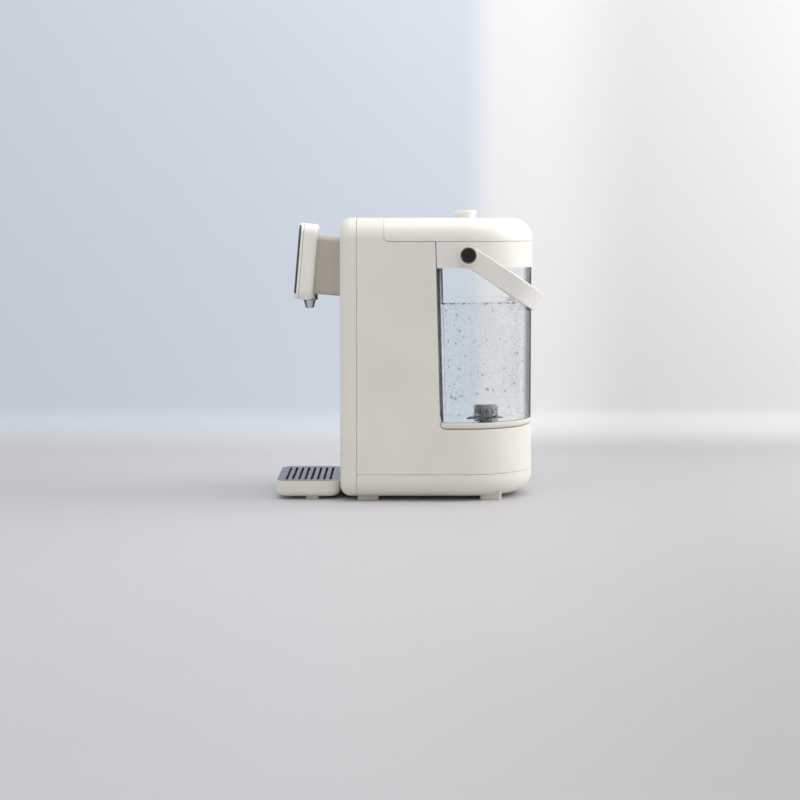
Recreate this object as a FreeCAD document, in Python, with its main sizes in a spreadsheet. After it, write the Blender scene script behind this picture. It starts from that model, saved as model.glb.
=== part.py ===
import FreeCAD, Part

import math
import os
import re

import Sketcher

# A formula water dispenser for the kitchen counter: a casing with a tilted head on a short neck, a clear
# water tank standing in a bay behind it, a bail handle on the tank, a lift-off lid and a drip tray.
# Millimetres, +Z up. X runs from the head at the front towards the tank at the back, Y across.
# Pieces are drawn with x = 0 on the front face of the casing, and y = 0 on the middle plane.

# Sizes in millimetres and degrees

# Casing: D-shaped in plan, with a flat front and a half-round back
casing_depth = 228
casing_width = 165
casing_top = 330
top_round = 25
bottom_round = 20
front_round = 12.5
shell_wall = 2.5
seam_gap = 0.4
front_seam = 19.5
base_seam = 32

# Feet under the casing
foot_height = 4.5
foot_length = 25
foot_width = 22
foot_spread = 110
front_foot = 20
rear_foot_inset = 64

# Lid over the tank and the back of the casing
lid_front = 51
lid_drop = 27.2
lid_corner = 7
lid_plate = 2.4
plug_depth = 16
plug_wall = 2
plug_inset = 10
knob_radius = 13.5
knob_stem = 12
knob_rise = 8.8
knob_disc = 4.3
knob_inset = 80

# Bay that the tank stands in: its front wall leans forward towards the top
bay_top_front = 110.5
bay_low_front = 116.5
bay_floor = 84.4
bay_corner = 7
bay_gap = 0.8

# Tank: a clear tub between a white collar and a white base band
tank_wall = 3
tank_recess = 1
tank_seat = 0.3
tank_corner = 5
band_wall = 2.5
band_height = 7.6
band_lap = 3
collar_drop = 58
gasket_height = 2
seal_height = 5
ledge_inset = 8
rim_inset = 4.5

# Bail handle on two pins
pivot_inset = 79.5
pivot_drop = 43.2
pin_radius = 4
strap_width = 23.5
strap_thick = 3
strap_edge = 1.4
arm_clearance = 0.8
arm_straight = 48
bail_corner = 45
bail_reach = 102.4
rest_angle = 33.5
boss_radius = 10.7
boss_rise = 2
cap_radius = 8.7
cap_thick = 1.8

# Head with its glass panel, tilted back on the neck
head_reach = 56.4
head_drop = 95.8
head_tilt = 5
head_width = 65
head_height = 90
head_depth = 22.3
head_wall = 2.2
head_corner = 12
head_round = 5
bezel_depth = 5.7
bezel_round = 2
glass_thick = 2.8
glass_low = 7
glass_high = 2.2
window_width = 40
window_low = 18
window_high = 80
neck_width = 50
neck_low = 7.8
neck_high = 77.1
neck_round = 6
flange_lap = 7

# Nozzle under the head
nozzle_place = -38.4
collar_radius = 9.8
collar_below = 2.2
collar_sunk = 5.1
tip_top_radius = 7.2
tip_end_radius = 5
tip_below = 11.7
tip_bore = 3
spigot_radius = 2.4

# Drip tray and its grid plate
tray_gap = 0.6
tray_depth = 75.4
tray_width = 130
tray_bottom = 3.5
tray_rim = 22
tray_wall = 2.6
tray_corner = 15
tray_round = 7
grid_lip = 0.9
grid_clearance = 0.3
grid_thick = 3
slot_width = 3
slot_pitch = 7.4
slot_end = 14
tray_foot_front = -41.4
tray_foot_back = -25.8
tray_foot_span = 116
magnet_length = 14
magnet_height = 4
magnet_thick = 2
tray_magnet_middle = 16
casing_magnet_middle = 19.5
magnet_spread = 70

# Water path
dock_inset = 55.5
dock_radius = 13
dock_wall = 2
dock_depth = 15
dock_flange = 5
nose_radius = 10
nose_length = 8
nose_wall = 2.4
seal_clearance = 0.3
poppet_radius = 6
poppet_stem = 1.8
seat_bore = 3.6
spring_wire = 0.5
spring_turns = 4
hose_radius = 4.5
hose_bore = 3
hose_bend = 10
hose_fit = 0.05
pump_height = 40
pump_radius = 18
pump_wall = 2
pump_inlet = 150
pump_front = 124
motor_radius = 13.5
motor_length = 38
shaft_radius = 1.5
shaft_clearance = 0.06
feed_height = 72
heater_place = 62
heater_radius = 17
heater_bottom = 126
heater_drop = 98
heater_cap = 13
heater_cap_rim = 2
nipple_length = 12
strap_ring = 2
delivery_drop = 55

# Frame inside the casing, boards and fasteners
chassis_place = 24
chassis_thick = 2.5
chassis_low = 34
chassis_drop = 36
chassis_leg = 16
boss_size = 4.5
screw_radius = 1.5
screw_head = 3.2
screw_head_height = 2
board_thick = 1.6
board_gap = 4
board_width = 46
board_low = 140
board_drop = 90
board_inset = 6
inlet_height = 56
inlet_width = 28
inlet_tall = 24
inlet_depth = 24

driving_sizes = {name: value for name, value in dict(globals()).items() if type(value) in (int, float)}

doc = FreeCAD.newDocument("formula_maker")
sizes = doc.addObject("Spreadsheet::Sheet", "Sizes")
for row, (name, value) in enumerate(driving_sizes.items(), start=1):
    sizes.set(f"A{row}", name)
    sizes.set(f"B{row}", str(value))
    sizes.setAlias(f"B{row}", name)
nodes = []

doc.recompute()

OVER = "10"


# Heights and places that hang on the casing's top or back, so that they go along when it grows
tied_places = {
    "lid_seam": "casing_top - lid_drop",
    "collar_bottom": "casing_top - collar_drop",
    "pivot_height": "casing_top - pivot_drop",
    "head_bottom": "casing_top - head_drop",
    "collar_low": "head_bottom - collar_below",
    "collar_high": "head_bottom + collar_sunk",
    "tip_end": "head_bottom - tip_below",
    "chassis_high": "casing_top - chassis_drop",
    "delivery_height": "casing_top - delivery_drop",
    "heater_length": "casing_top - heater_drop - heater_bottom",
    "board_high": "casing_top - board_drop",
    "pivot_place": "casing_depth - pivot_inset",
    "dock_place": "casing_depth - dock_inset",
    "knob_place": "casing_depth - knob_inset",
    "rear_foot": "casing_depth - rear_foot_inset",
}


def formula(text):
    """Write a formula over the sheet: a size by its alias, a tied place by the formula it stands for."""

    def written(word):
        name = word.group()
        return f"({formula(tied_places[name])})" if name in tied_places else f"Sizes.{name}"

    return re.sub(r"\b[a-z]+(?:_[a-z]+)+\b", written, str(text))


def measure(text):
    """What a formula comes to at the present sizes, in millimetres or degrees."""
    return float(sizes.evalExpression(formula(text)))


def bind(thing, path, text):
    thing.setExpression(path, formula(text))


def stand(thing, x="0", y="0", z="0"):
    """Put an object at a place given by formulas."""
    for axis, text in zip("xyz", (x, y, z)):
        bind(thing, f"Placement.Base.{axis}", text)
    return thing


# The middle of the whole object lies under the middle of its box, from the tray's front to the bail's end
strap_end = "strap_thick + bail_reach"
object_back = f"pivot_place + ({strap_end}) * cos(rest_angle) + strap_width / 2 * sin(rest_angle)"
frame_middle = f"(({object_back}) - tray_gap - tray_depth) / 2"


def publish(name, thing, x="0", y="0", z="0"):
    """Make an object one of the model's own pieces, in the frame of the whole object."""
    thing.Label = name
    stand(thing, f"({x}) - ({frame_middle})", y, z)
    nodes.append(thing)
    return thing


def new_body(name):
    return doc.addObject("PartDesign::Body", name)


def fix(drawing, kind, edge, spot, text):
    """Hold one coordinate of a point of a sketch at a formula."""
    mark = drawing.addConstraint(Sketcher.Constraint(kind, -1, 1, edge, spot, measure(text)))
    bind(drawing, f"Constraints[{mark}]", text)


def add_loop(drawing, points):
    """A closed outline. A point is (x, y), or (x, y, centre x, centre y, turn) where an arc starts."""
    spots = [FreeCAD.Vector(measure(point[0]), measure(point[1]), 0) for point in points]
    edges = []
    for place, point in enumerate(points):
        here = spots[place]
        there = spots[(place + 1) % len(points)]
        if len(point) == 2:
            edge = drawing.addGeometry(Part.LineSegment(here, there))
            edges.append((edge, 1, 2))
            continue
        middle = FreeCAD.Vector(measure(point[2]), measure(point[3]), 0)
        first, last = (here, there) if point[4] > 0 else (there, here)
        angles = [math.atan2(spot.y - middle.y, spot.x - middle.x) for spot in (first, last)]
        circle = Part.Circle(middle, FreeCAD.Vector(0, 0, 1), (here - middle).Length)
        edge = drawing.addGeometry(Part.ArcOfCircle(circle, angles[0], angles[1]))
        edges.append((edge, 1, 2) if point[4] > 0 else (edge, 2, 1))
        chord = there - here
        if abs(chord.y) >= abs(chord.x):
            fix(drawing, "DistanceX", edge, 3, point[2])
        else:
            fix(drawing, "DistanceY", edge, 3, point[3])
    for place, point in enumerate(points):
        edge, start, _ = edges[place]
        before, _, end = edges[place - 1]
        drawing.addConstraint(Sketcher.Constraint("Coincident", before, end, edge, start))
        fix(drawing, "DistanceX", edge, start, point[0])
        fix(drawing, "DistanceY", edge, start, point[1])


def add_circle(drawing, x, y, radius):
    centre = FreeCAD.Vector(measure(x), measure(y), 0)
    circle = Part.Circle(centre, FreeCAD.Vector(0, 0, 1), measure(radius))
    edge = drawing.addGeometry(circle)
    fix(drawing, "DistanceX", edge, 3, x)
    fix(drawing, "DistanceY", edge, 3, y)
    mark = drawing.addConstraint(Sketcher.Constraint("Radius", edge, measure(radius)))
    bind(drawing, f"Constraints[{mark}]", radius)


def draw(part, plane, loops, lift="0"):
    """A sketch on one of the body's own planes: a loop is a list of points, a circle (x, y, radius)."""
    drawing = part.newObject("Sketcher::SketchObject", part.Name + "_sketch")
    origin = [item for item in part.Origin.OriginFeatures if item.Role == plane + "_Plane"]
    drawing.AttachmentSupport = (origin[0], [""])
    drawing.MapMode = "FlatFace"
    bind(drawing, "AttachmentOffset.Base.z", lift)
    for loop in loops:
        if isinstance(loop, tuple):
            add_circle(drawing, *loop)
        else:
            add_loop(drawing, loop)
    return drawing


def extrude(part, kind, plane, low, high, *loops):
    """A pad or a pocket that fills the space from low to high along the plane's own axis."""
    length = f"({high}) - ({low})"
    if plane == "XZ":
        low, high = f"-({high})", f"-({low})"
    drawing = draw(part, plane, loops, low if kind == "Pad" else high)
    feature = part.newObject("PartDesign::" + kind, part.Name + "_" + kind.lower())
    feature.Profile = drawing
    bind(feature, "Length", length)
    return feature


def pad(part, plane, low, high, *loops):
    return extrude(part, "Pad", plane, low, high, *loops)


def pocket(part, plane, low, high, *loops):
    return extrude(part, "Pocket", plane, low, high, *loops)


def spin(part, *points):
    """A turned solid: its half section drawn as (radius, height) and revolved about the upright axis."""
    drawing = draw(part, "XZ", [list(points)])
    feature = part.newObject("PartDesign::Revolution", part.Name + "_turned")
    feature.Profile = drawing
    feature.ReferenceAxis = (drawing, ["V_Axis"])
    feature.Angle = 360
    return feature


def flat_at(axis, text):
    """A test for edges that lie wholly at one level of an axis."""
    level = measure(text)

    def test(edge):
        box = edge.BoundBox
        ends = getattr(box, axis + "Min"), getattr(box, axis + "Max")
        return max(abs(end - level) for end in ends) < 0.05

    return test


def along(axis):
    """A test for straight edges that run along an axis, or nearly so."""

    def test(edge):
        box = edge.BoundBox
        spans = {"X": box.XLength, "Y": box.YLength, "Z": box.ZLength}
        run = spans.pop(axis)
        return isinstance(edge.Curve, Part.Line) and run > 10 * max(spans.values())

    return test


def soften(part, radius, test):
    """Round the edges of a body that pass a test."""
    doc.recompute()
    before = part.Tip
    names = [f"Edge{place + 1}" for place, edge in enumerate(before.Shape.Edges) if test(edge)]
    feature = part.newObject("PartDesign::Fillet", part.Name + "_round")
    feature.Base = (before, names)
    bind(feature, "Radius", radius)
    return feature


def block(name, x, y, z):
    """A box from three (low, high) pairs."""
    thing = doc.addObject("Part::Box", name)
    for side, (low, high) in zip(("Length", "Width", "Height"), (x, y, z)):
        bind(thing, side, f"({high}) - ({low})")
    return stand(thing, x[0], y[0], z[0])


TURNS = {
    "X": FreeCAD.Rotation(FreeCAD.Vector(0, 1, 0), 90),
    "Y": FreeCAD.Rotation(FreeCAD.Vector(1, 0, 0), -90),
    "Z": FreeCAD.Rotation(),
}


def rod(name, axis, radius, low, high, first, second):
    """A cylinder along an axis from low to high. The other two coordinates follow in X, Y, Z order."""
    thing = doc.addObject("Part::Cylinder", name)
    thing.Placement = FreeCAD.Placement(FreeCAD.Vector(), TURNS[axis])
    bind(thing, "Radius", radius)
    bind(thing, "Height", f"({high}) - ({low})")
    place = [first, second]
    place.insert("XYZ".index(axis), low)
    return stand(thing, *place)


def join(name, *things):
    thing = doc.addObject("Part::MultiFuse", name)
    thing.Shapes = list(things)
    return thing


def cut(name, base, *tools):
    thing = doc.addObject("Part::Cut", name)
    thing.Base = base
    thing.Tool = tools[0] if len(tools) == 1 else join(name + "_tools", *tools)
    return thing


def common(name, base, tool):
    thing = doc.addObject("Part::Common", name)
    thing.Base = base
    thing.Tool = tool
    return thing


def group(name, things):
    """Separate solids that share one node, such as a set of equal screws."""
    thing = doc.addObject("Part::Compound", name)
    thing.Links = list(things)
    return thing


def rectangle(left, right, low, high):
    return [(left, low), (right, low), (right, high), (left, high)]


def rounded_rectangle(left, right, low, high, radius):
    """A rectangle with round corners, counterclockwise from its lower left."""
    inner_left = f"({left}) + ({radius})"
    inner_right = f"({right}) - ({radius})"
    inner_low = f"({low}) + ({radius})"
    inner_high = f"({high}) - ({radius})"
    return [
        (inner_left, low),
        (inner_right, low, inner_right, inner_low, 1),
        (right, inner_low),
        (right, inner_high, inner_right, inner_high, 1),
        (inner_right, high),
        (inner_left, high, inner_left, inner_high, 1),
        (left, inner_high),
        (left, inner_low, inner_left, inner_low, 1),
    ]


def d_plan(front, inset):
    """The casing's plan: a flat front, straight sides and a half-round back, drawn in by an inset."""
    half = f"(casing_width / 2 - ({inset}))"
    middle = "(casing_depth - casing_width / 2)"
    return [
        (front, f"-{half}"),
        (middle, f"-{half}", middle, "0", 1),
        (middle, half),
        (front, half),
    ]


# Casing forms: the outside of the casing, and the hollow one wall inside it


def casing_form(name, inset):
    part = new_body(name)
    low = f"foot_height + ({inset})"
    high = f"casing_top - ({inset})"
    pad(part, "XY", low, high, d_plan(inset, inset))
    front = flat_at("X", inset)
    top = flat_at("Z", high)
    bottom = flat_at("Z", low)
    soften(part, f"top_round - ({inset})", lambda edge: top(edge) and not front(edge))
    soften(part, f"bottom_round - ({inset})", lambda edge: bottom(edge) and not front(edge))
    soften(part, f"front_round - ({inset})", front)
    return part


def side_block(name, low_front, high_front, low, high, corner):
    """A block across the whole width whose side view has a leaning front and a round lower corner."""
    part = new_body(name)
    side = [
        (low_front, low),
        (f"casing_depth + {OVER}", low),
        (f"casing_depth + {OVER}", high),
        (high_front, high),
    ]
    half = f"casing_width / 2 + {OVER}"
    pad(part, "XZ", f"-({half})", half, side)
    across = along("Y")
    bottom = flat_at("Z", low)
    back = flat_at("X", f"casing_depth + {OVER}")
    soften(part, corner, lambda edge: across(edge) and bottom(edge) and not back(edge))
    return part


def bay_front(height, inset="0"):
    """Where the leaning front wall of the bay is at a height, moved back by an inset."""
    lean = "(bay_low_front - bay_top_front) / (lid_seam - bay_floor)"
    return f"bay_low_front - {lean} * (({height}) - bay_floor) + ({inset})"


def bay_block(name, out):
    low = f"bay_floor - ({out})"
    high = f"casing_top + {OVER}"
    back = f"-({out})"
    return side_block(name, bay_front(low, back), bay_front(high, back), low, high, f"bay_corner + ({out})")


def lid_block(name, out, low):
    front = f"lid_front - ({out})"
    return side_block(name, front, front, low, f"casing_top + {OVER}", f"lid_corner + ({out})")


half_gap = "seam_gap / 2"
half_width = "casing_width / 2"
whole = (f"-({half_width}) - {OVER}", f"({half_width}) + {OVER}")

outside = casing_form("outside", "0")
inside = casing_form("inside", "shell_wall")
bay = bay_block("bay", "0")
lid_space = lid_block("lid_space", "0", "lid_seam - seam_gap")
bay_walled = bay_block("bay_walled", "shell_wall")
lid_walled = lid_block("lid_walled", "shell_wall", "lid_seam - seam_gap - shell_wall")
chamber = cut("chamber", inside, bay_walled, lid_walled)

# Places of the screws that hold the casing together
front_screws = [(side, height) for side in (-1, 1) for height in ("60", "210")]
front_boss_side = f"({half_width}) - shell_wall - boss_size - 3"
front_screw_place = "(front_foot + foot_length + 9)"
base_screws = [
    (front_screw_place, f"({half_width}) - bottom_round - 3"),
    ("dock_place", "foot_spread / 2 - foot_width / 2 - 7"),
]


def front_shell():
    """The front cover, full height, with four screw bosses and a square opening for the neck."""
    slab = block(
        "front_slab",
        ("-10", f"front_seam - {half_gap}"),
        whole,
        ("0", f"casing_top + {OVER}"),
    )
    skin = cut("front_skin", common("front_solid", outside, slab), chamber)
    bosses = []
    bores = []
    for place, (side, height) in enumerate(front_screws):
        y = f"{side} * ({front_boss_side})"
        bosses.append(
            rod(f"front_boss_{place}", "X", "boss_size", "shell_wall - 1", "chassis_place", y, height)
        )
        bores.append(
            rod(
                f"front_bore_{place}", "X", "screw_radius", "shell_wall + 3", "chassis_place + 1", y, height
            )
        )
    opening = neck_form("neck_opening", "0.3", "0")
    publish("front_shell", cut("front_cover", join("front_bossed", skin, *bosses), opening, *bores))


def neck_form(name, out, inset):
    """The neck as a solid bar, grown by a clearance or drawn in by a wall, tilted as the head is."""
    part = new_body(name)
    side = f"neck_width / 2 + ({out}) - ({inset})"
    outline = rounded_rectangle(
        f"-({side})",
        side,
        f"neck_low - ({out}) + ({inset})",
        f"neck_high + ({out}) - ({inset})",
        f"neck_round + ({out}) - ({inset})",
    )
    start = "head_depth" if inset == "0" else "head_depth - 1"
    pad(part, "YZ", start, "head_reach + front_seam", outline)
    return tilt(part)


def tilt(thing):
    """Lean an object drawn upright at the lower front edge of the head back to the head's own angle."""
    thing.Placement = FreeCAD.Placement(
        FreeCAD.Vector(), FreeCAD.Rotation(FreeCAD.Vector(0, 1, 0), head_tilt)
    )
    bind(thing, "Placement.Rotation.Angle", "head_tilt")
    return stand(thing, "-head_reach", "0", "head_bottom")


def head_height_at(x, up):
    """The height of a point of the tilted head: how far it lies behind its front face, and how far up."""
    return f"head_bottom - ({x}) * sin(head_tilt) + ({up}) * cos(head_tilt)"


def neck_housing():
    """The short arm between casing and head, put in from the inside and held by a flange."""
    bar = neck_form("neck_bar", "0", "0")
    hollow = neck_form("neck_hollow", "0", "head_wall")
    flange_back = "shell_wall + 2.2"
    trimmer = block(
        "neck_trim",
        (flange_back, "head_reach + front_seam"),
        whole,
        ("0", f"casing_top + {OVER}"),
    )
    low = head_height_at("head_reach", "neck_low")
    high = head_height_at("head_reach", "neck_high")
    flange = block(
        "neck_flange",
        ("shell_wall", flange_back),
        ("-neck_width / 2 - flange_lap", "neck_width / 2 + flange_lap"),
        (f"{low} - flange_lap", f"{high} + flange_lap"),
    )
    collar_room = rod(
        "neck_collar_room", "Z", "collar_radius + 0.2", "0", "collar_high + 0.2", "nozzle_place", "0"
    )
    publish(
        "neck_housing", cut("neck_piece", join("neck_solid", bar, flange), hollow, trimmer, collar_room)
    )


def main_shell():
    """The large cover: sides, top strip, the deck under the lid and the bay that the tank stands in."""
    front = block(
        "main_front_cut", ("-10", f"front_seam + {half_gap}"), whole, ("0", f"casing_top + {OVER}")
    )
    below = block(
        "main_base_cut", ("-10", f"casing_depth + {OVER}"), whole, ("0", f"base_seam + {half_gap}")
    )
    shell = cut("main_skin", outside, chamber, bay, lid_space, front, below)
    bosses = []
    bores = []
    for place, (x, y) in enumerate(base_screws):
        top = "bay_floor - shell_wall / 2" if place else "base_seam + 30"
        for side in (-1, 1):
            where = f"{side} * ({y})"
            name = f"base_boss_{place}_{side + 1}"
            bosses.append(rod(name, "Z", "boss_size", f"{base_pad_top}", top, x, where))
            bores.append(
                rod(name + "_bore", "Z", "screw_radius", f"{base_pad_top} - 1", "base_seam", x, where)
            )
            if not place:
                reach = (where, f"({half_width}) - shell_wall / 2")
                if side < 0:
                    reach = (f"-({half_width}) + shell_wall / 2", where)
                web_x = (f"({x}) - 1.5", f"({x}) + 1.5")
                bosses.append(block(name + "_web", web_x, reach, ("base_seam + 2", top)))
    collar_fit = "dock_radius + dock_wall + 0.2"
    floor_span = (f"bay_floor - {OVER}", f"bay_floor + {OVER}")
    floor_hole = rod("dock_hole", "Z", collar_fit, *floor_span, "dock_place", "0")
    mouth = inlet_block("inlet_mouth", "0.3", "casing_width / 2")
    publish("main_shell", cut("main_cover", join("main_bossed", shell, *bosses), floor_hole, mouth, *bores))


base_floor = "(foot_height + shell_wall)"
base_pad_top = f"({base_floor} + 3)"


def base_shell():
    """The shallow pan that closes the casing from below, with a countersunk pad for each screw."""
    pan = block(
        "base_slab",
        (f"front_seam + {half_gap}", f"casing_depth + {OVER}"),
        whole,
        ("0", f"base_seam - {half_gap}"),
    )
    skin = cut("base_skin", common("base_solid", outside, pan), inside)
    pads = []
    holes = []
    for place, (x, y) in enumerate(base_screws):
        for side in (-1, 1):
            where = f"{side} * ({y})"
            name = f"base_pad_{place}_{side + 1}"
            pads.append(rod(name, "Z", "boss_size + 1.5", "foot_height + 1", base_pad_top, x, where))
            holes.append(rod(name + "_hole", "Z", "screw_radius + 0.2", "0", "casing_top", x, where))
            sink = f"{base_floor} + 0.4"
            holes.append(rod(name + "_sink", "Z", "screw_head + 0.3", "0", sink, x, where))
    publish("base_shell", cut("base_pan", join("base_padded", skin, *pads), *holes))


def base_feet():
    """Four feet, shaped on top to the curve of the pan."""
    feet = []
    for x in ("front_foot", "rear_foot"):
        for side in (-1, 1):
            middle = f"{side} * foot_spread / 2"
            foot = new_body("foot")
            outline = rounded_rectangle(
                x,
                f"{x} + foot_length",
                f"{middle} - foot_width / 2",
                f"{middle} + foot_width / 2",
                "foot_width / 6",
            )
            pad(foot, "XY", "0", "foot_height + bottom_round / 2", outline)
            feet.append(cut("foot_trimmed", foot, outside))
    publish("base_feet", group("foot_set", feet))


def screw(name, axis, low, length, first, second, side=1):
    """A pan-head screw whose head starts at low and whose shank runs along the axis, or against it."""
    head_end = f"({low}) + ({side}) * screw_head_height"
    shank_end = f"({head_end}) + ({side}) * ({length})"
    ends = (low, head_end, shank_end) if side > 0 else (shank_end, head_end, low)
    if side > 0:
        head = rod(name + "_head", axis, "screw_head", ends[0], ends[1], first, second)
        shank = rod(name + "_shank", axis, "screw_radius - 0.05", ends[1], ends[2], first, second)
    else:
        shank = rod(name + "_shank", axis, "screw_radius - 0.05", ends[0], ends[1], first, second)
        head = rod(name + "_head", axis, "screw_head", ends[1], ends[2], first, second)
    return join(name, head, shank)


def casing_screws():
    """Four screws up through the pan, and four forwards through the frame into the front cover."""
    screws = []
    for place, (x, y) in enumerate(base_screws):
        for side in (-1, 1):
            low = f"{base_floor} + 0.4 - screw_head_height"
            screws.append(screw(f"base_screw_{place}_{side + 1}", "Z", low, "14", x, f"{side} * ({y})"))
    for place, (side, height) in enumerate(front_screws):
        back = "chassis_place + chassis_thick + screw_head_height"
        y = f"{side} * ({front_boss_side})"
        screws.append(screw(f"front_screw_{place}", "X", back, "12", y, height, side=-1))
    publish("casing_screws", group("casing_screw_set", screws))


def chassis():
    """The upright frame plate behind the front cover, standing on two legs in the pan."""
    part = new_body("chassis_body")
    side = f"({half_width}) - shell_wall - 1"
    leg_side = f"({half_width}) - bottom_round - 4"
    outline = [
        (f"-({side})", "chassis_low"),
        (f"-({leg_side})", "chassis_low"),
        (f"-({leg_side})", base_floor),
        (f"-({leg_side}) + chassis_leg", base_floor),
        (f"-({leg_side}) + chassis_leg", "chassis_low"),
        (f"({leg_side}) - chassis_leg", "chassis_low"),
        (f"({leg_side}) - chassis_leg", base_floor),
        (f"{leg_side}", base_floor),
        (f"{leg_side}", "chassis_low"),
        (side, "chassis_low"),
        (side, "chassis_high"),
        (f"-({side})", "chassis_high"),
    ]
    pad(part, "YZ", "chassis_place", "chassis_place + chassis_thick", outline)
    loops = [("0", "delivery_height", "hose_radius + 2")]
    for side_sign, height in front_screws:
        loops.append((f"{side_sign} * ({front_boss_side})", height, "screw_radius + 0.2"))
    pocket(part, "YZ", "chassis_place - 1", "chassis_place + chassis_thick + 1", *loops)
    publish("chassis_frame", part)


# Tank: every ring and tub of it is the same plan, drawn in by an inset and cut to the lean of the bay


def tank_form(name, inset, low, high, corner=None, toe=None):
    part = new_body(name)
    pad(part, "XY", low, high, d_plan("bay_top_front - 4", inset))
    gap = f"bay_gap + ({inset})"
    below = f"({low}) - {OVER}"
    above = f"({high}) + {OVER}"
    wedge = [
        ("bay_top_front - 20", below),
        (bay_front(below, gap), below),
        (bay_front(above, gap), above),
        ("bay_top_front - 20", above),
    ]
    half = f"casing_width / 2 + {OVER}"
    pocket(part, "XZ", f"-({half})", half, wedge)
    upright = along("Z")
    middle = measure("casing_depth - casing_width / 2") - 1
    if corner:
        soften(part, corner, lambda edge: upright(edge) and edge.BoundBox.XMax < middle)
    if toe:
        across = along("Y")
        bottom = flat_at("Z", low)
        soften(part, toe, lambda edge: across(edge) and bottom(edge))
    return part


band_bottom = "(bay_floor + tank_seat)"
band_top = f"({band_bottom} + band_height)"
tub_bottom = f"({band_top} - band_lap)"
tub_floor = f"({tub_bottom} + tank_wall)"
# The collar's ledge is thick enough to hold the handle's pins, and the tub ends below it
ledge_bottom = "(pivot_height - pin_radius - 2)"
ledge_top = "(pivot_height + pin_radius + 1)"
tub_top = f"({ledge_bottom} - gasket_height)"
collar_top = f"(lid_seam - {half_gap})"
tub_inset = "(band_wall + 0.1)"
water_inset = "(tank_recess + tank_wall)"
pin_inner = f"({half_width} - ledge_inset + 1.5)"
arm_inner = f"({half_width} + arm_clearance)"
arm_outer = f"({arm_inner} + strap_thick)"


def tank_shell():
    """The clear tub. Its two ends step in behind the collar and the base band."""
    low = tank_form("tub_low", tub_inset, tub_bottom, band_top, "tank_corner - 1")
    middle = tank_form("tub_middle", "tank_recess", band_top, "collar_bottom", "tank_corner")
    high = tank_form("tub_high", tub_inset, "collar_bottom", tub_top, "tank_corner - 1")
    hollow = tank_form("tub_hollow", water_inset, tub_floor, f"{tub_top} + 1", "tank_corner - 2")
    outlet = rod("tub_outlet", "Z", "nose_radius + 0.1", "bay_floor", f"{tub_floor} + 1", "dock_place", "0")
    publish("tank_shell", cut("tub", join("tub_solid", low, middle, high), hollow, outlet))


def tank_collar():
    """The white ring round the top of the tub, with a ledge for the lid's seal and holes for the pins."""
    ring = tank_form("collar_ring", "0", "collar_bottom", collar_top, "1")
    socket = tank_form("collar_socket", "band_wall", "collar_bottom - 1", ledge_bottom, "tank_corner - 1")
    mouth = tank_form("collar_mouth", "ledge_inset", f"{ledge_bottom} - 1", f"{ledge_top} + 1", "2")
    rim = tank_form("collar_rim", "rim_inset", ledge_top, f"{collar_top} + 1", "2")
    holes = [
        rod("pin_hole", "Y", "pin_radius + 0.05", low, high, "pivot_place", "pivot_height")
        for low, high in ((pin_inner, whole[1]), (whole[0], f"-{pin_inner}"))
    ]
    publish("tank_collar", cut("collar", ring, socket, mouth, rim, *holes))


def tank_base():
    """The white band and sole under the tub."""
    pan = tank_form("band_pan", "0", band_bottom, band_top, "1", "bay_corner - bay_gap")
    socket = tank_form("band_socket", "band_wall", tub_bottom, f"{band_top} + 1", "tank_corner - 1")
    outlet = rod("band_outlet", "Z", "nose_radius + 0.1", "0", "casing_top", "dock_place", "0")
    publish("tank_base", cut("band", pan, socket, outlet))


def tank_gasket():
    """The flat gasket between the tub's upper edge and the collar's ledge."""
    ring = tank_form("gasket_ring", "band_wall + 0.2", tub_top, ledge_bottom, "tank_corner - 1")
    mouth = tank_form(
        "gasket_mouth", water_inset, f"{tub_top} - 1", f"{ledge_bottom} + 1", "tank_corner - 2"
    )
    publish("tank_gasket", cut("gasket", ring, mouth))


nose_bottom = f"({band_bottom} - nose_length)"
seat_top = f"({nose_bottom} + 2)"
guide_low = f"({tub_floor} + 2)"
flange_top = f"({tub_floor} + 2.5)"
guide_top = f"({guide_low} + 4)"
nose_bore = "(nose_radius - nose_wall)"


def valve_body():
    """The outlet fitting: a nose through the sole of the tank, a flange inside and a bridge for the stem."""
    part = new_body("nose")
    spin(
        part,
        ("seat_bore", nose_bottom),
        ("nose_radius", nose_bottom),
        ("nose_radius", tub_floor),
        ("nose_radius + 5", tub_floor),
        ("nose_radius + 5", flange_top),
        ("nose_radius", flange_top),
        ("nose_radius", guide_top),
        (nose_bore, guide_top),
        (nose_bore, seat_top),
        ("seat_bore", seat_top),
    )
    stand(part, "dock_place")
    bridge = block(
        "nose_bridge",
        ("dock_place - nose_radius + 1", "dock_place + nose_radius - 1"),
        ("-poppet_stem - 1.4", "poppet_stem + 1.4"),
        (guide_low, guide_top),
    )
    guide = rod("nose_guide", "Z", "poppet_stem + 0.08", "0", "casing_top", "dock_place", "0")
    upper_ring = common(
        "nose_bridge_round",
        bridge,
        rod("nose_round", "Z", f"{nose_bore} + 1", "0", "casing_top", "dock_place", "0"),
    )
    publish("valve_body", cut("valve_housing", join("nose_solid", part, upper_ring), guide))


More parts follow.
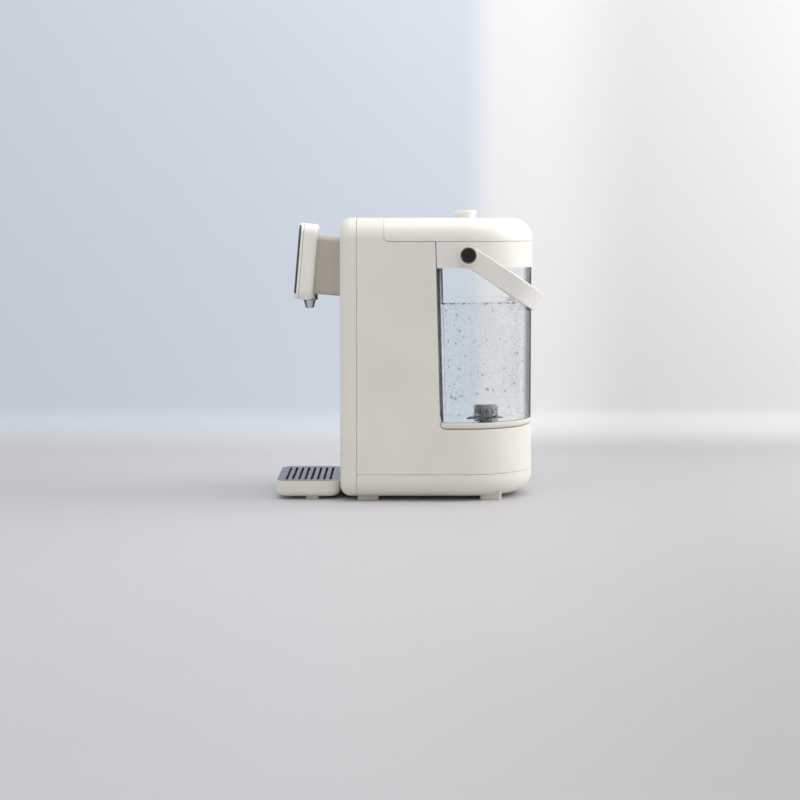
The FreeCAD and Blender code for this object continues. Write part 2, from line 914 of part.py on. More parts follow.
def tank_strainer():
    """The slotted cap that keeps scale and crumbs out of the outlet."""
    part = new_body("strainer_cap")
    outer = "(nose_radius + 4)"
    top = f"({flange_top} + 12)"
    spin(
        part,
        (f"{outer} - 1.6", flange_top),
        (outer, flange_top),
        (outer, f"{top} - 4", f"{outer} - 4", f"{top} - 4", 1),
        (f"{outer} - 4", top),
        ("0", top),
        ("0", f"{top} - 1.6"),
        (f"{outer} - 4", f"{top} - 1.6", f"{outer} - 4", f"{top} - 4", -1),
        (f"{outer} - 1.6", f"{top} - 4"),
    )
    stand(part, "dock_place")
    slots = []
    for turn in range(6):
        slot = doc.addObject("Part::Box", "strainer_slot")
        slot.Placement = FreeCAD.Placement(
            FreeCAD.Vector(), FreeCAD.Rotation(FreeCAD.Vector(0, 0, 1), 30 * turn)
        )
        bind(slot, "Length", "nose_radius * 4")
        slot.Width = 1.6
        slot.Height = 5
        angle = 30 * turn
        stand(
            slot,
            f"dock_place - nose_radius * 2 * cos({angle}) + 0.8 * sin({angle})",
            f"-nose_radius * 2 * sin({angle}) - 0.8 * cos({angle})",
            f"{flange_top} + 2",
        )
        slots.append(slot)
    publish("tank_strainer", cut("strainer", part, *slots))


def valve_poppet():
    """The spring-loaded stopper: a disc on the seat, its stem up through the bridge and a nub below."""
    part = new_body("poppet")
    disc_top = f"({seat_top} + 2.2)"
    spin(
        part,
        ("0", f"{nose_bottom} + 0.6"),
        ("poppet_stem", f"{nose_bottom} + 0.6"),
        ("poppet_stem", seat_top),
        ("poppet_radius", seat_top),
        ("poppet_radius", disc_top),
        ("poppet_stem", disc_top),
        ("poppet_stem", f"{guide_top} + 1"),
        ("0", f"{guide_top} + 1"),
    )
    publish("valve_poppet", part, "dock_place")


def valve_spring():
    """The coil that presses the stopper on its seat: half rings, each tilted to rise by half a turn."""
    low = f"({seat_top} + 2.2 + spring_wire)"
    high = f"({guide_low} - spring_wire)"
    coil_radius = "(poppet_stem + 1.6)"
    rise = f"(({high} - {low}) / (2 * spring_turns))"
    halves = []
    for place in range(2 * spring_turns):
        ring = doc.addObject("Part::Torus", "spring_ring")
        ring.Angle3 = 180
        bind(ring, "Radius1", f"sqrt({coil_radius} ^ 2 + {rise} ^ 2 / 4)")
        bind(ring, "Radius2", "spring_wire")
        turned = place % 2
        ring.Placement.Rotation = FreeCAD.Rotation(FreeCAD.Vector(0, 0, 1), 180 * turned)
        half = group("spring_half", [ring])
        half.Placement.Rotation = FreeCAD.Rotation(FreeCAD.Vector(0, 1, 0), -5 if turned else 5)
        way = "-" if turned else ""
        bind(half, "Placement.Rotation.Angle", f"{way}atan({rise} / (2 * {coil_radius}))")
        halves.append(stand(half, "0", "0", f"{rise} * {place + 0.5}"))
    publish("valve_spring", join("spring", *halves), "dock_place", "0", low)


def handle_pins():
    """The two steel studs set in the collar, one on each side, that the bail turns on."""
    end = f"({arm_outer} + boss_rise - cap_thick)"
    pins = [
        rod("pin", "Y", "pin_radius", low, high, "pivot_place", "pivot_height")
        for low, high in ((pin_inner, end), (f"-{end}", f"-{pin_inner}"))
    ]
    publish("handle_pins", group("pin_set", pins))


# The bail's inner line in its own plane: u runs out from the pivot, y across. A corner arc and a crown arc
# meet tangent to each other, so the crown's radius follows from the reach and the corner.
corner_side = f"({arm_inner} - bail_corner)"
crown_radius = (
    f"((({corner_side})^2 + (bail_reach - arm_straight)^2 - bail_corner^2)"
    " / (2 * (bail_reach - arm_straight - bail_corner)))"
)
crown_centre = f"(bail_reach - {crown_radius})"


def bail_line(out):
    """The points of one line of the bail, from its near arm round the crown to its far arm."""
    radius = f"(bail_corner + ({out}))"
    share = f"({crown_radius} + ({out})) / ({crown_radius} - bail_corner)"
    meet_u = f"({crown_centre} + (arm_straight - {crown_centre}) * {share})"
    meet_y = f"({corner_side} * {share})"
    side = f"({arm_inner} + ({out}))"
    return [
        ("arm_straight", f"-{side}", "arm_straight", f"-{corner_side}", 1),
        (meet_u, f"-{meet_y}", crown_centre, "0", 1),
        (meet_u, meet_y, "arm_straight", corner_side, 1),
        ("arm_straight", side),
    ]


def backwards(points):
    """The same line walked the other way round, with its arcs turned about."""
    turned = []
    for place in range(len(points) - 1, -1, -1):
        arc = points[place - 1][2:] if place else ()
        turned.append(points[place][:2] + (arc[:2] + (-arc[2],) if arc else ()))
    return turned


def mirrored(side, low, high):
    """A span along Y from the middle plane outwards, on the near side or turned over for the far one."""
    return (low, high) if side > 0 else (f"-({high})", f"-({low})")


def handle():
    """The bail: one flat strap round the back of the tank, with a raised round boss at each pin."""
    part = new_body("bail")
    outer = [("0", f"-{arm_outer}")] + bail_line("strap_thick") + [("0", arm_outer)]
    inner = [("0", arm_inner)] + backwards(bail_line("0")) + [("0", f"-{arm_inner}")]
    pad(part, "XY", "-strap_width / 2", "strap_width / 2", outer + inner)
    for way in ("-", ""):
        soften(part, "strap_edge", flat_at("Z", f"{way}strap_width / 2"))
    bosses = []
    bores = [rod("bail_bore", "Y", "pin_radius + shaft_clearance", *whole, "0", "0")]
    boss_face = f"{arm_outer} + boss_rise"
    for side in (-1, 1):
        arm_end = mirrored(side, arm_inner, arm_outer)
        boss = mirrored(side, f"{arm_outer} - strap_thick / 4", boss_face)
        sink = mirrored(side, f"{boss_face} - cap_thick", f"{boss_face} + {OVER}")
        bosses.append(rod("bail_end", "Y", "strap_width / 2", *arm_end, "0", "0"))
        bosses.append(rod("bail_boss", "Y", "boss_radius", *boss, "0", "0"))
        bores.append(rod("bail_sink", "Y", "cap_radius + 0.1", *sink, "0", "0"))
    piece = cut("bail_piece", join("bail_solid", part, *bosses), *bores)
    lean(piece)
    publish("handle", piece, "pivot_place", "0", "pivot_height")


def lean(thing):
    """Turn an object drawn level about the pivot down to the angle at which the bail rests."""
    thing.Placement = FreeCAD.Placement(
        FreeCAD.Vector(), FreeCAD.Rotation(FreeCAD.Vector(0, 1, 0), rest_angle)
    )
    bind(thing, "Placement.Rotation.Angle", "rest_angle")


def handle_caps():
    """The dark round caps that close the two bosses."""
    caps = []
    for side in (-1, 1):
        part = new_body("cap")
        spin(
            part,
            ("0", f"{arm_outer} + boss_rise - cap_thick + 0.05"),
            ("cap_radius", f"{arm_outer} + boss_rise - cap_thick + 0.05"),
            ("cap_radius", f"{arm_outer} + boss_rise - 0.5"),
            ("cap_radius - 0.5", f"{arm_outer} + boss_rise"),
            ("0", f"{arm_outer} + boss_rise"),
        )
        part.Placement = FreeCAD.Placement(
            FreeCAD.Vector(), FreeCAD.Rotation(FreeCAD.Vector(1, 0, 0), -90 * side)
        )
        caps.append(stand(part, "pivot_place", "0", "pivot_height"))
    publish("handle_caps", group("cap_set", caps))


lid_bottom = f"(lid_seam + {half_gap})"


def lid_shell():
    """The lid's white cover, which carries on the casing's rounded top."""
    space = lid_block("lid_outer_space", f"-({half_gap})", lid_bottom)
    hollow = side_block(
        "lid_hollow_space",
        f"lid_front + {half_gap} + shell_wall",
        f"lid_front + {half_gap} + shell_wall",
        f"lid_seam - {OVER}",
        f"casing_top + {OVER}",
        "lid_corner",
    )
    skin = cut("lid_skin", common("lid_solid", outside, space), common("lid_hollow", inside, hollow))
    hole = rod(
        "lid_knob_hole", "Z", "screw_radius + 0.2", "lid_seam", f"casing_top + {OVER}", "knob_place", "0"
    )
    publish("lid_shell", cut("lid_cover", skin, hole))


def lid_inner():
    """The lining plate under the cover, with a plug that hangs into the tank's collar."""
    plate = new_body("lid_plate_body")
    inset = "(shell_wall + 0.3)"
    outline = d_plan(f"lid_front + {half_gap} + shell_wall + 0.3 + lid_corner", inset)
    pad(plate, "XY", collar_top, f"{collar_top} + lid_plate", outline)
    soften(plate, "4", along("Z"))
    plug = tank_form("plug", "plug_inset", f"{collar_top} - plug_depth", collar_top, "4")
    hollow_span = (f"{collar_top} - plug_depth - 1", f"{collar_top} - plug_wall")
    hollow = tank_form("plug_hollow", "plug_inset + plug_wall", *hollow_span, "3")
    posts = []
    bores = []
    for x in ("lid_front + 30", "casing_depth - 30"):
        posts.append(rod("lid_post", "Z", "boss_size", collar_top, "casing_top - shell_wall", x, "0"))
        bores.append(rod("lid_post_bore", "Z", "screw_radius", f"{collar_top} + 6", "casing_top", x, "0"))
    publish(
        "lid_inner",
        cut("lining", join("lining_solid", plate, cut("plug_ring", plug, hollow), *posts), *bores),
    )


def lid_seal():
    """The soft ring round the plug that closes it against the collar's ledge."""
    low = f"({ledge_top} - seal_height)"
    ring = tank_form("seal_ring", "ledge_inset + seal_clearance", low, ledge_top, "2")
    bore = tank_form("seal_bore", "plug_inset", f"{low} - 1", f"{ledge_top} + 1", "4")
    publish("lid_seal", cut("seal", ring, bore))


def lid_knob():
    """The round knob: a broad disc on a short stem."""
    part = new_body("knob")
    top = "casing_top + knob_rise"
    edge = "knob_disc / 3"
    spin(
        part,
        ("0", "casing_top"),
        ("knob_stem", "casing_top"),
        ("knob_stem", f"{top} - knob_disc"),
        (
            f"knob_radius - {edge}",
            f"{top} - knob_disc",
            f"knob_radius - {edge}",
            f"{top} - knob_disc + {edge}",
            1,
        ),
        ("knob_radius", f"{top} - knob_disc + {edge}"),
        ("knob_radius", f"{top} - {edge}", f"knob_radius - {edge}", f"{top} - {edge}", 1),
        (f"knob_radius - {edge}", top),
        ("0", top),
    )
    stand(part, "knob_place")
    bore = rod("knob_bore", "Z", "screw_radius", f"casing_top - {OVER}", f"{top} - 2", "knob_place", "0")
    publish("lid_knob", cut("knob_piece", part, bore))


def knob_screw():
    low = "casing_top - shell_wall - screw_head_height"
    publish("knob_screw", screw("knob_fixing", "Z", low, "shell_wall + knob_rise - 3", "knob_place", "0"))


# Head: drawn upright, with x = 0 on its front face and z = 0 on its lower edge, then tilted


def head_outline(inset="0"):
    side = f"head_width / 2 - ({inset})"
    return rounded_rectangle(
        f"-({side})", side, inset, f"head_height - ({inset})", f"head_corner - ({inset})"
    )


def head_shell():
    """The rear cover of the head, open in front, with a way to the neck and a seat for the nozzle."""
    part = new_body("head_cover")
    start = "bezel_depth + 0.4"
    pad(part, "YZ", start, "head_depth", head_outline())
    soften(part, "head_round", flat_at("X", "head_depth"))
    pocket(part, "YZ", f"{start} - 1", "head_depth - head_wall", head_outline("head_wall"))
    passage = rounded_rectangle(
        "-neck_width / 2 + head_wall",
        "neck_width / 2 - head_wall",
        "neck_low + head_wall",
        "neck_high - head_wall",
        "neck_round - head_wall",
    )
    pocket(part, "YZ", "head_depth - head_wall - 1", f"head_depth + {OVER}", passage)
    tilt(part)
    rooms = [
        rod("head_collar_room", "Z", "collar_radius + 0.2", "0", "collar_high + 0.2", "nozzle_place", "0"),
        rod(
            "head_hose_room",
            "Z",
            "hose_radius + 0.3",
            "collar_high",
            "collar_high + 8",
            "nozzle_place",
            "0",
        ),
    ]
    publish("head_shell", cut("head_cover_cut", part, *rooms))


def head_front(name):
    """The front layer of the head, with its edges rounded, as one solid."""
    part = new_body(name)
    pad(part, "YZ", "0", "bezel_depth", head_outline())
    soften(part, "bezel_round", flat_at("X", "0"))
    return part


def glass_span(name, out="0"):
    """The room that the glass takes from the front layer: from side to side, between two heights."""
    heights = (f"glass_low - ({out})", f"head_height - glass_high + ({out})")
    return block(name, (f"-{OVER}", "glass_thick"), ("-head_width", "head_width"), heights)


def head_bezel():
    """The front frame of the head: a step for the glass and a window for the board behind it."""
    part = head_front("bezel")
    window = rounded_rectangle("-window_width / 2", "window_width / 2", "window_low", "window_high", "4")
    pocket(part, "YZ", f"-{OVER}", f"bezel_depth + {OVER}", window)
    publish_tilted("head_bezel", cut("bezel_piece", part, glass_span("glass_step", "0.1")))


def publish_tilted(name, part):
    tilt(part)
    publish(name, part, "-head_reach", "0", "head_bottom")


def display_glass():
    """The dark glass touch panel, which reaches from side to side and shares the head's rounded edges."""
    publish_tilted("display_glass", common("glass_piece", head_front("glass"), glass_span("glass_room")))


def display_board():
    """The touch and display board on the back of the frame, with a display block in the window."""
    part = new_body("display_plate")
    side = "window_width / 2 + 4"
    board = rectangle(f"-({side})", side, "window_low - 5", "window_high + 4")
    pad(part, "YZ", "bezel_depth", "bezel_depth + board_thick", board)
    face = rectangle("-window_width / 2 + 4", "window_width / 2 - 4", "window_low + 26", "window_high - 4")
    pad(part, "YZ", "glass_thick + 0.1", "bezel_depth + board_thick / 2", face)
    publish_tilted("display_board", part)


def display_screws():
    """Four small screws through the board into the frame."""
    screws = []
    for side in (-1, 1):
        for height in ("window_low - 2.4", "window_high + 1.6"):
            head = "bezel_depth + board_thick"
            part = new_body("display_screw")
            spot = (f"{side} * (window_width / 2 - 6)", height)
            pad(part, "YZ", head, f"{head} + 1.4", spot + ("2",))
            screws.append(tilt(part))
    publish("display_screws", group("display_screw_set", screws))


def nozzle_collar():
    """The bright ring where head and neck meet, with a spigot above it for the delivery tube."""
    part = new_body("nozzle_ring")
    mouth = "(tip_top_radius - 1.6)"
    spin(
        part,
        (mouth, "collar_low"),
        ("collar_radius - 0.6", "collar_low"),
        ("collar_radius", "collar_low + 0.6"),
        ("collar_radius", "collar_high"),
        ("hose_bore - hose_fit", "collar_high"),
        ("hose_bore - hose_fit", "collar_high + nipple_length - 2"),
        ("spigot_radius - 0.8", "collar_high + nipple_length - 2"),
        ("spigot_radius - 0.8", "collar_high - 2"),
        (mouth, "collar_high - 2"),
    )
    publish("nozzle_collar", part, "nozzle_place")


def nozzle_tip():
    """The bright outlet cone, screwed up into its ring."""
    part = new_body("tip")
    neck = "(tip_top_radius - 1.7)"
    spin(
        part,
        ("tip_bore", "tip_end"),
        ("tip_end_radius - 0.5", "tip_end"),
        ("tip_end_radius", "tip_end + 0.5"),
        ("tip_top_radius", "collar_low - 0.8"),
        ("tip_top_radius", "collar_low"),
        (neck, "collar_low"),
        (neck, "collar_high - 2.2"),
        ("tip_bore", "collar_high - 2.2"),
    )
    publish("nozzle_tip", part, "nozzle_place")


def hose(name, runs, bend, bore_radius="hose_bore", outer_radius="hose_radius"):
    """A hose in the middle plane along level and upright runs: its corner points are (x, z) formulas."""
    part = new_body(name + "_body")
    spots = [(measure(x), measure(z)) for x, z in runs]
    marks = []
    for place, (x, z) in enumerate(runs):
        if place in (0, len(runs) - 1):
            marks.append((x, z))
            continue
        steps = []
        for other in (place - 1, place + 1):
            reach = (spots[other][0] - spots[place][0], spots[other][1] - spots[place][1])
            level = abs(reach[0]) > abs(reach[1])
            sign = 1 if (reach[0] if level else reach[1]) > 0 else -1
            steps.append((sign, 0) if level else (0, sign))
        first, last = [
            (f"({x}) + ({sx}) * ({bend})", f"({z}) + ({sz}) * ({bend})") for sx, sz in steps
        ]
        centre = (
            f"({x}) + ({steps[0][0] + steps[1][0]}) * ({bend})",
            f"({z}) + ({steps[0][1] + steps[1][1]}) * ({bend})",
        )
        turn = 1 if steps[0][0] * steps[1][1] - steps[0][1] * steps[1][0] < 0 else -1
        marks.append(first + centre + (turn,))
        marks.append(last)
    path = part.newObject("Sketcher::SketchObject", name + "_path")
    origin = [item for item in part.Origin.OriginFeatures if item.Role == "XZ_Plane"]
    path.AttachmentSupport = (origin[0], [""])
    path.MapMode = "FlatFace"
    add_path(path, marks)
    upright = abs(spots[1][1] - spots[0][1]) > abs(spots[1][0] - spots[0][0])
    plane = "XY" if upright else "YZ"
    spot = (runs[0][0], "0") if upright else ("0", runs[0][1])
    circles = [spot + (outer_radius,), spot + (bore_radius,)]
    ring = draw(part, plane, circles, runs[0][1] if upright else runs[0][0])
    pipe = part.newObject("PartDesign::AdditivePipe", name + "_pipe")
    pipe.Profile = ring
    pipe.Spine = (path, [f"Edge{place + 1}" for place in range(len(marks) - 1)])
    pipe.Mode = "Standard"
    publish(name, part)


def add_path(drawing, points):
    """An open line of runs and arcs, with its points held as an outline's are."""
    spots = [FreeCAD.Vector(measure(point[0]), measure(point[1]), 0) for point in points]
    edges = []
    for place, point in enumerate(points[:-1]):
        here, there = spots[place], spots[place + 1]
        if len(point) == 2:
            edges.append((drawing.addGeometry(Part.LineSegment(here, there)), 1, 2))
            continue
        middle = FreeCAD.Vector(measure(point[2]), measure(point[3]), 0)
        first, last = (here, there) if point[4] > 0 else (there, here)
        angles = [math.atan2(spot.y - middle.y, spot.x - middle.x) for spot in (first, last)]
        circle = Part.Circle(middle, FreeCAD.Vector(0, 0, 1), (here - middle).Length)
        edge = drawing.addGeometry(Part.ArcOfCircle(circle, angles[0], angles[1]))
        edges.append((edge, 1, 2) if point[4] > 0 else (edge, 2, 1))
        fix(drawing, "DistanceX", edge, 3, point[2])
    for place, point in enumerate(points):
        last = place == len(edges)
        edge, start, end = edges[-1] if last else edges[place]
        spot = end if last else start
        fix(drawing, "DistanceX", edge, spot, point[0])
        fix(drawing, "DistanceY", edge, spot, point[1])
        if 0 < place < len(edges):
            before, _, before_end = edges[place - 1]
            drawing.addConstraint(Sketcher.Constraint("Coincident", before, before_end, edge, spot))



# Drip tray, in front of the casing

tray_front = "(-tray_gap - tray_depth)"
tray_back = "(-tray_gap)"


def tray_outline(inset):
    side = f"tray_width / 2 - ({inset})"
    front, back = f"{tray_front} + ({inset})", f"{tray_back} - ({inset})"
    return rounded_rectangle(front, back, f"-({side})", side, f"tray_corner - ({inset})")


grid_bottom = "(tray_rim - grid_thick)"


def drip_tray():
    """The round-cornered cup that catches drips, with a step inside its rim that the grid lies on."""
    part = new_body("tray_cup")
    pad(part, "XY", "tray_bottom", "tray_rim", tray_outline("0"))
    pocket(part, "XY", "tray_bottom + tray_wall", "tray_rim + 1", tray_outline("tray_wall"))
    soften(part, "tray_round - tray_wall", flat_at("Z", "tray_bottom + tray_wall"))
    soften(part, "tray_round", flat_at("Z", "tray_bottom"))
    pocket(part, "XY", grid_bottom, "tray_rim + 1", tray_outline("grid_lip"))
    seats = []
    for side in (-1, 1):
        seats.append(magnet_block("magnet_seat", side, tray_magnet_span, "tray_magnet_middle", "0.05"))
    publish("drip_tray", cut("tray_piece", part, *seats))


tray_magnet_span = (f"{tray_back} - magnet_thick", tray_back)
casing_magnet_span = ("shell_wall + 0.1", "shell_wall + 0.1 + magnet_thick")


def magnet_block(name, side, span, middle, out="0"):
    """One of a pair of flat magnets that stand on edge at each side, or the seat cut for it."""
    across = f"{side} * magnet_spread / 2"
    return block(
        name,
        (f"{span[0]} - ({out})", f"{span[1]} + ({out})"),
        (f"{across} - magnet_length / 2 - ({out})", f"{across} + magnet_length / 2 + ({out})"),
        (f"{middle} - magnet_height / 2 - ({out})", f"{middle} + magnet_height / 2 + ({out})"),
    )


def tray_magnets():
    """Two magnets in the back of the tray, and two on the inside of the casing's front that hold them."""
    for name, span in (("tray_magnet", tray_magnet_span), ("casing_magnet", casing_magnet_span)):
        pair = [magnet_block(name, side, span, name + "_middle") for side in (-1, 1)]
        publish(name + "s", group(name + "_pair", pair))


def tray_foot():
    """The low rib that the tray stands on."""
    part = new_body("tray_rib")
    outline = rounded_rectangle(
        "tray_foot_front", "tray_foot_back", "-tray_foot_span / 2", "tray_foot_span / 2", "tray_corner / 5"
    )
    pad(part, "XY", "0", "tray_bottom", outline)
    publish("tray_foot", part)


def drip_grid():
    """The smoky slotted plate: a row of slots across it, held clear of its round corners."""
    part = new_body("grid_plate")
    inset = "(grid_lip + grid_clearance)"
    pad(part, "XY", grid_bottom, "tray_rim", tray_outline(inset))
    soften(part, "grid_thick / 6", flat_at("Z", "tray_rim"))
    count = int((measure("tray_depth") - 2 * measure(f"{inset} + slot_pitch / 2")) / measure("slot_pitch"))
    slots = []
    for place in range(count):
        middle = f"{tray_front} + tray_depth / 2 + {place - (count - 1) / 2} * slot_pitch"
        reach = "tray_width / 2 - slot_end"
        slots.append(
            rounded_rectangle(
                f"{middle} - slot_width / 2",
                f"{middle} + slot_width / 2",
                f"-({reach})",
                reach,
                "slot_width * 0.49",
            )
        )
    pocket(part, "XY", f"{grid_bottom} - 1", "tray_rim + 1", *slots)
    publish("drip_grid", part)


# Water path: dock, pump, heater and the hoses between them, all on the middle plane

dock_bottom = "(bay_floor - dock_depth)"
dock_spout = f"({dock_bottom} - nipple_length)"


def dock_socket():
    """The cup in the bay's floor that the tank's nose stands in, with a hose spout and the pin's bridge."""
    part = new_body("dock_cup")
    wall = "(dock_radius + dock_wall)"
    spin(
        part,
        ("spigot_radius - 0.8", dock_spout),
        ("hose_bore - hose_fit", dock_spout),
        ("hose_bore - hose_fit", f"{dock_bottom} - 2"),
        (wall, f"{dock_bottom} - 2"),
        (wall, "bay_floor - shell_wall - 2"),
        (f"{wall} + dock_flange", "bay_floor - shell_wall - 2"),
        (f"{wall} + dock_flange", "bay_floor - shell_wall"),
        (wall, "bay_floor - shell_wall"),
        (wall, "bay_floor"),
        ("dock_radius", "bay_floor"),
        ("dock_radius", dock_bottom),
        ("spigot_radius - 0.8", dock_bottom),
    )
    publish("dock_socket", part, "dock_place")


def dock_pin():
    """The pin that lifts the tank's stopper as the tank is set down, on three spokes in the cup."""
    hub_top = f"({dock_bottom} + 3)"
    parts = [
        rod("dock_pin_rod", "Z", "poppet_stem", dock_bottom, f"{nose_bottom} + 0.6", "dock_place", "0")
    ]
    disc = rod(
        "dock_pin_disc", "Z", "dock_radius - 0.1", dock_bottom, f"{dock_bottom} + 2", "dock_place", "0"
    )
    holes = []
    for turn in range(3):
        angle = 120 * turn + 60
        holes.append(
            rod(
                "dock_pin_hole",
                "Z",
                "dock_radius / 4",
                "0",
                "casing_top",
                f"dock_place + dock_radius * 0.55 * cos({angle})",
                f"dock_radius * 0.55 * sin({angle})",
            )
        )
    publish("dock_pin", join("dock_pin_piece", cut("dock_pin_plate", disc, *holes), *parts))


def dock_seal():
    """The lip ring in the mouth of the cup, round the tank's nose."""
    part = new_body("dock_ring")
    spin(
        part,
        ("nose_radius + seal_clearance", "bay_floor - 5"),
        ("dock_radius - 0.05", "bay_floor - 5"),
        ("dock_radius - 0.05", "bay_floor - 1"),
        ("nose_radius + seal_clearance + 1", "bay_floor - 1"),
        ("nose_radius + seal_clearance", "bay_floor - 2"),
    )
    publish("dock_seal", part, "dock_place")


pump_back = "(pump_inlet - nipple_length)"
motor_front = "(pump_front - motor_length)"
outlet_place = f"((pump_front + {pump_back}) / 2)"


def pump_housing():
    """The round pump case: its inlet spout on the axis towards the dock, its outlet spout on top."""
    body = rod("pump_case", "X", "pump_radius", "pump_front", pump_back, "0", "pump_height")
    inlet = rod(
        "pump_inlet_spout",
        "X",
        "hose_bore - hose_fit",
        f"{pump_back} - 1",
        "pump_inlet",
        "0",
        "pump_height",
    )
    outlet_top = "pump_height + pump_radius + nipple_length / 2"
    outlet = rod(
        "pump_outlet_spout", "Z", "hose_bore - hose_fit", "pump_height", outlet_top, outlet_place, "0"
    )
    room = rod(
        "pump_room",
        "X",
        "pump_radius - pump_wall",
        "pump_front + pump_wall",
        f"{pump_back} - pump_wall",
        "0",
        "pump_height",
    )
    bores = [
        rod(
            "pump_inlet_bore",
            "X",
            "spigot_radius - 0.8",
            f"{pump_back} - pump_wall - 1",
            "pump_inlet + 1",
            "0",
            "pump_height",
        ),
        rod(
            "pump_outlet_bore",
            "Z",
            "spigot_radius - 0.8",
            "pump_height + pump_radius / 2",
            f"{outlet_top} + 1",
            outlet_place,
            "0",
        ),
        rod(
            "pump_shaft_bore",
            "X",
            "shaft_radius + shaft_clearance",
            "pump_front - 1",
            "pump_front + pump_wall + 1",
            "0",
            "pump_height",
        ),
    ]
    publish("pump_housing", cut("pump_piece", join("pump_solid", body, inlet, outlet), room, *bores))


def pump_motor():
    """The can motor on the front of the pump, bored for the shaft."""
    can = rod("motor_can", "X", "motor_radius", motor_front, "pump_front", "0", "pump_height")
    tail = rod(
        "motor_tail",
        "X",
        "motor_radius / 3",
        f"{motor_front} - 3",
        f"{motor_front} + 1",
        "0",
        "pump_height",
    )
    bore = rod(
        "motor_bore",
        "X",
        "shaft_radius + shaft_clearance",
        "pump_front - motor_length / 2",
        "pump_front + 1",
        "0",
        "pump_height",
    )
    publish("pump_motor", cut("motor_piece", join("motor_solid", can, tail), bore))


def pump_impeller():
    """The vaned wheel on its shaft."""
    face = "(pump_front + pump_wall + 1)"
    shaft = rod(
        "impeller_shaft", "X", "shaft_radius", "pump_front - motor_length / 2 + 1", face, "0", "pump_height"
    )
    plate = rod(
        "impeller_plate", "X", "pump_radius - pump_wall - 1.5", face, f"{face} + 1.5", "0", "pump_height"
    )
    hub = rod("impeller_hub", "X", "shaft_radius * 2", face, f"{face} + 4", "0", "pump_height")
    vanes = []
    for turn in range(6):
        vane = doc.addObject("Part::Box", "impeller_vane")
        vane.Placement = FreeCAD.Placement(
            FreeCAD.Vector(), FreeCAD.Rotation(FreeCAD.Vector(1, 0, 0), 60 * turn)
        )
        vane.Length = 4
        vane.Width = 1.2
        bind(vane, "Height", "pump_radius - pump_wall - 2")
        stand(vane, face, f"-0.6 * cos({60 * turn})", f"pump_height - 0.6 * sin({60 * turn})")
        vanes.append(vane)
    publish("pump_impeller", join("impeller", shaft, plate, hub, *vanes))


def pump_cradle():
    """The saddle on the pan that holds the motor."""
    saddle = block(
        "cradle_block",
        (f"{motor_front} + 8", f"{motor_front} + 26"),
        ("-motor_radius - 6", "motor_radius + 6"),
        (base_floor, "pump_height - motor_radius / 4"),
    )
    room = rod("cradle_room", "X", "motor_radius + 0.1", "0", "casing_depth", "0", "pump_height")
    publish("pump_cradle", cut("cradle", saddle, room))


def dock_hose():
    """From the dock's spout down and forwards to the pump's inlet."""
    hose(
        "dock_hose",
        [
            ("dock_place", "bay_floor - dock_depth - 2.5"),
            ("dock_place", "pump_height"),
            (f"{pump_back} + 0.5", "pump_height"),
        ],
        "hose_bend",
    )


def feed_hose():
    """From the pump's outlet up, forwards under the bay and up into the heater."""
    hose(
        "feed_hose",
        [
            (outlet_place, "pump_height + pump_radius + 0.5"),
            (outlet_place, "feed_height"),
            ("heater_place", "feed_height"),
            ("heater_place", "heater_bottom - heater_cap - 0.5"),
        ],
        "hose_bend * 0.8",
    )


def delivery_hose():
    """From the heater up, forwards through the neck and down to the nozzle."""
    hose(
        "delivery_hose",
        [
            ("heater_place", "heater_bottom + heater_length + heater_cap + 0.5"),
            ("heater_place", "delivery_height"),
            ("nozzle_place", "delivery_height"),
            ("nozzle_place", "collar_high + 0.5"),
        ],
        "hose_bend",
    )


def heater():
    """The steel flow heater between two moulded end caps with hose spouts."""
    top = "(heater_bottom + heater_length)"
    tube = new_body("heater_shell")
    spin(
        tube,
        ("heater_radius - 1.5", "heater_bottom"),
        ("heater_radius", "heater_bottom"),
        ("heater_radius", top),
        ("heater_radius - 1.5", top),
    )
    publish("heater_tube", tube, "heater_place")
    for name, start, way in (("heater_lower_cap", "heater_bottom", -1), ("heater_upper_cap", top, 1)):
        cap = new_body(name + "_body")
        end = f"({start} + {way} * heater_cap)"
        spout = f"({end} + {way} * nipple_length)"
        inner = f"({start} - {way} * 4)"
        points = [
            ("spigot_radius - 0.8", spout),
            ("hose_bore - hose_fit", spout),
            ("hose_bore - hose_fit", end),
            ("heater_radius + heater_cap_rim", end),
            ("heater_radius + heater_cap_rim", start),
            ("heater_radius - 1.6", start),
            ("heater_radius - 1.6", inner),
            ("spigot_radius - 0.8", inner),
        ]
        spin(cap, *points)
        if way > 0:
            stand(cap, "heater_place")
            sensor_line = ("heater_place", f"{top} + heater_cap / 2")
            socket = rod("sensor_socket", "Y", "2.1", "6", "heater_radius + 10", *sensor_line)
            publish(name, cut("upper_cap_drilled", cap, socket))
        else:
            publish(name, cap, "heater_place")


def heater_bracket():
    """Two rings round the heater on arms from one plate on the frame."""
    back = "(chassis_place + chassis_thick)"
    plate = block(
        "bracket_plate",
        (back, f"{back} + 2"),
        ("-14", "14"),
        ("heater_bottom + 10", "heater_bottom + heater_length - 10"),
    )
    solids = [plate]
    for height in ("heater_bottom + 14", "heater_bottom + heater_length - 24"):
        span = (height, f"{height} + 10")
        solids.append(block("bracket_arm", (back, "heater_place - heater_radius"), ("-5", "5"), span))
        solids.append(rod("bracket_ring", "Z", "heater_radius + strap_ring", *span, "heater_place", "0"))
    room = rod("bracket_room", "Z", "heater_radius + 0.05", "0", "casing_top", "heater_place", "0")
    publish("heater_bracket", cut("bracket", join("bracket_solid", *solids), room))


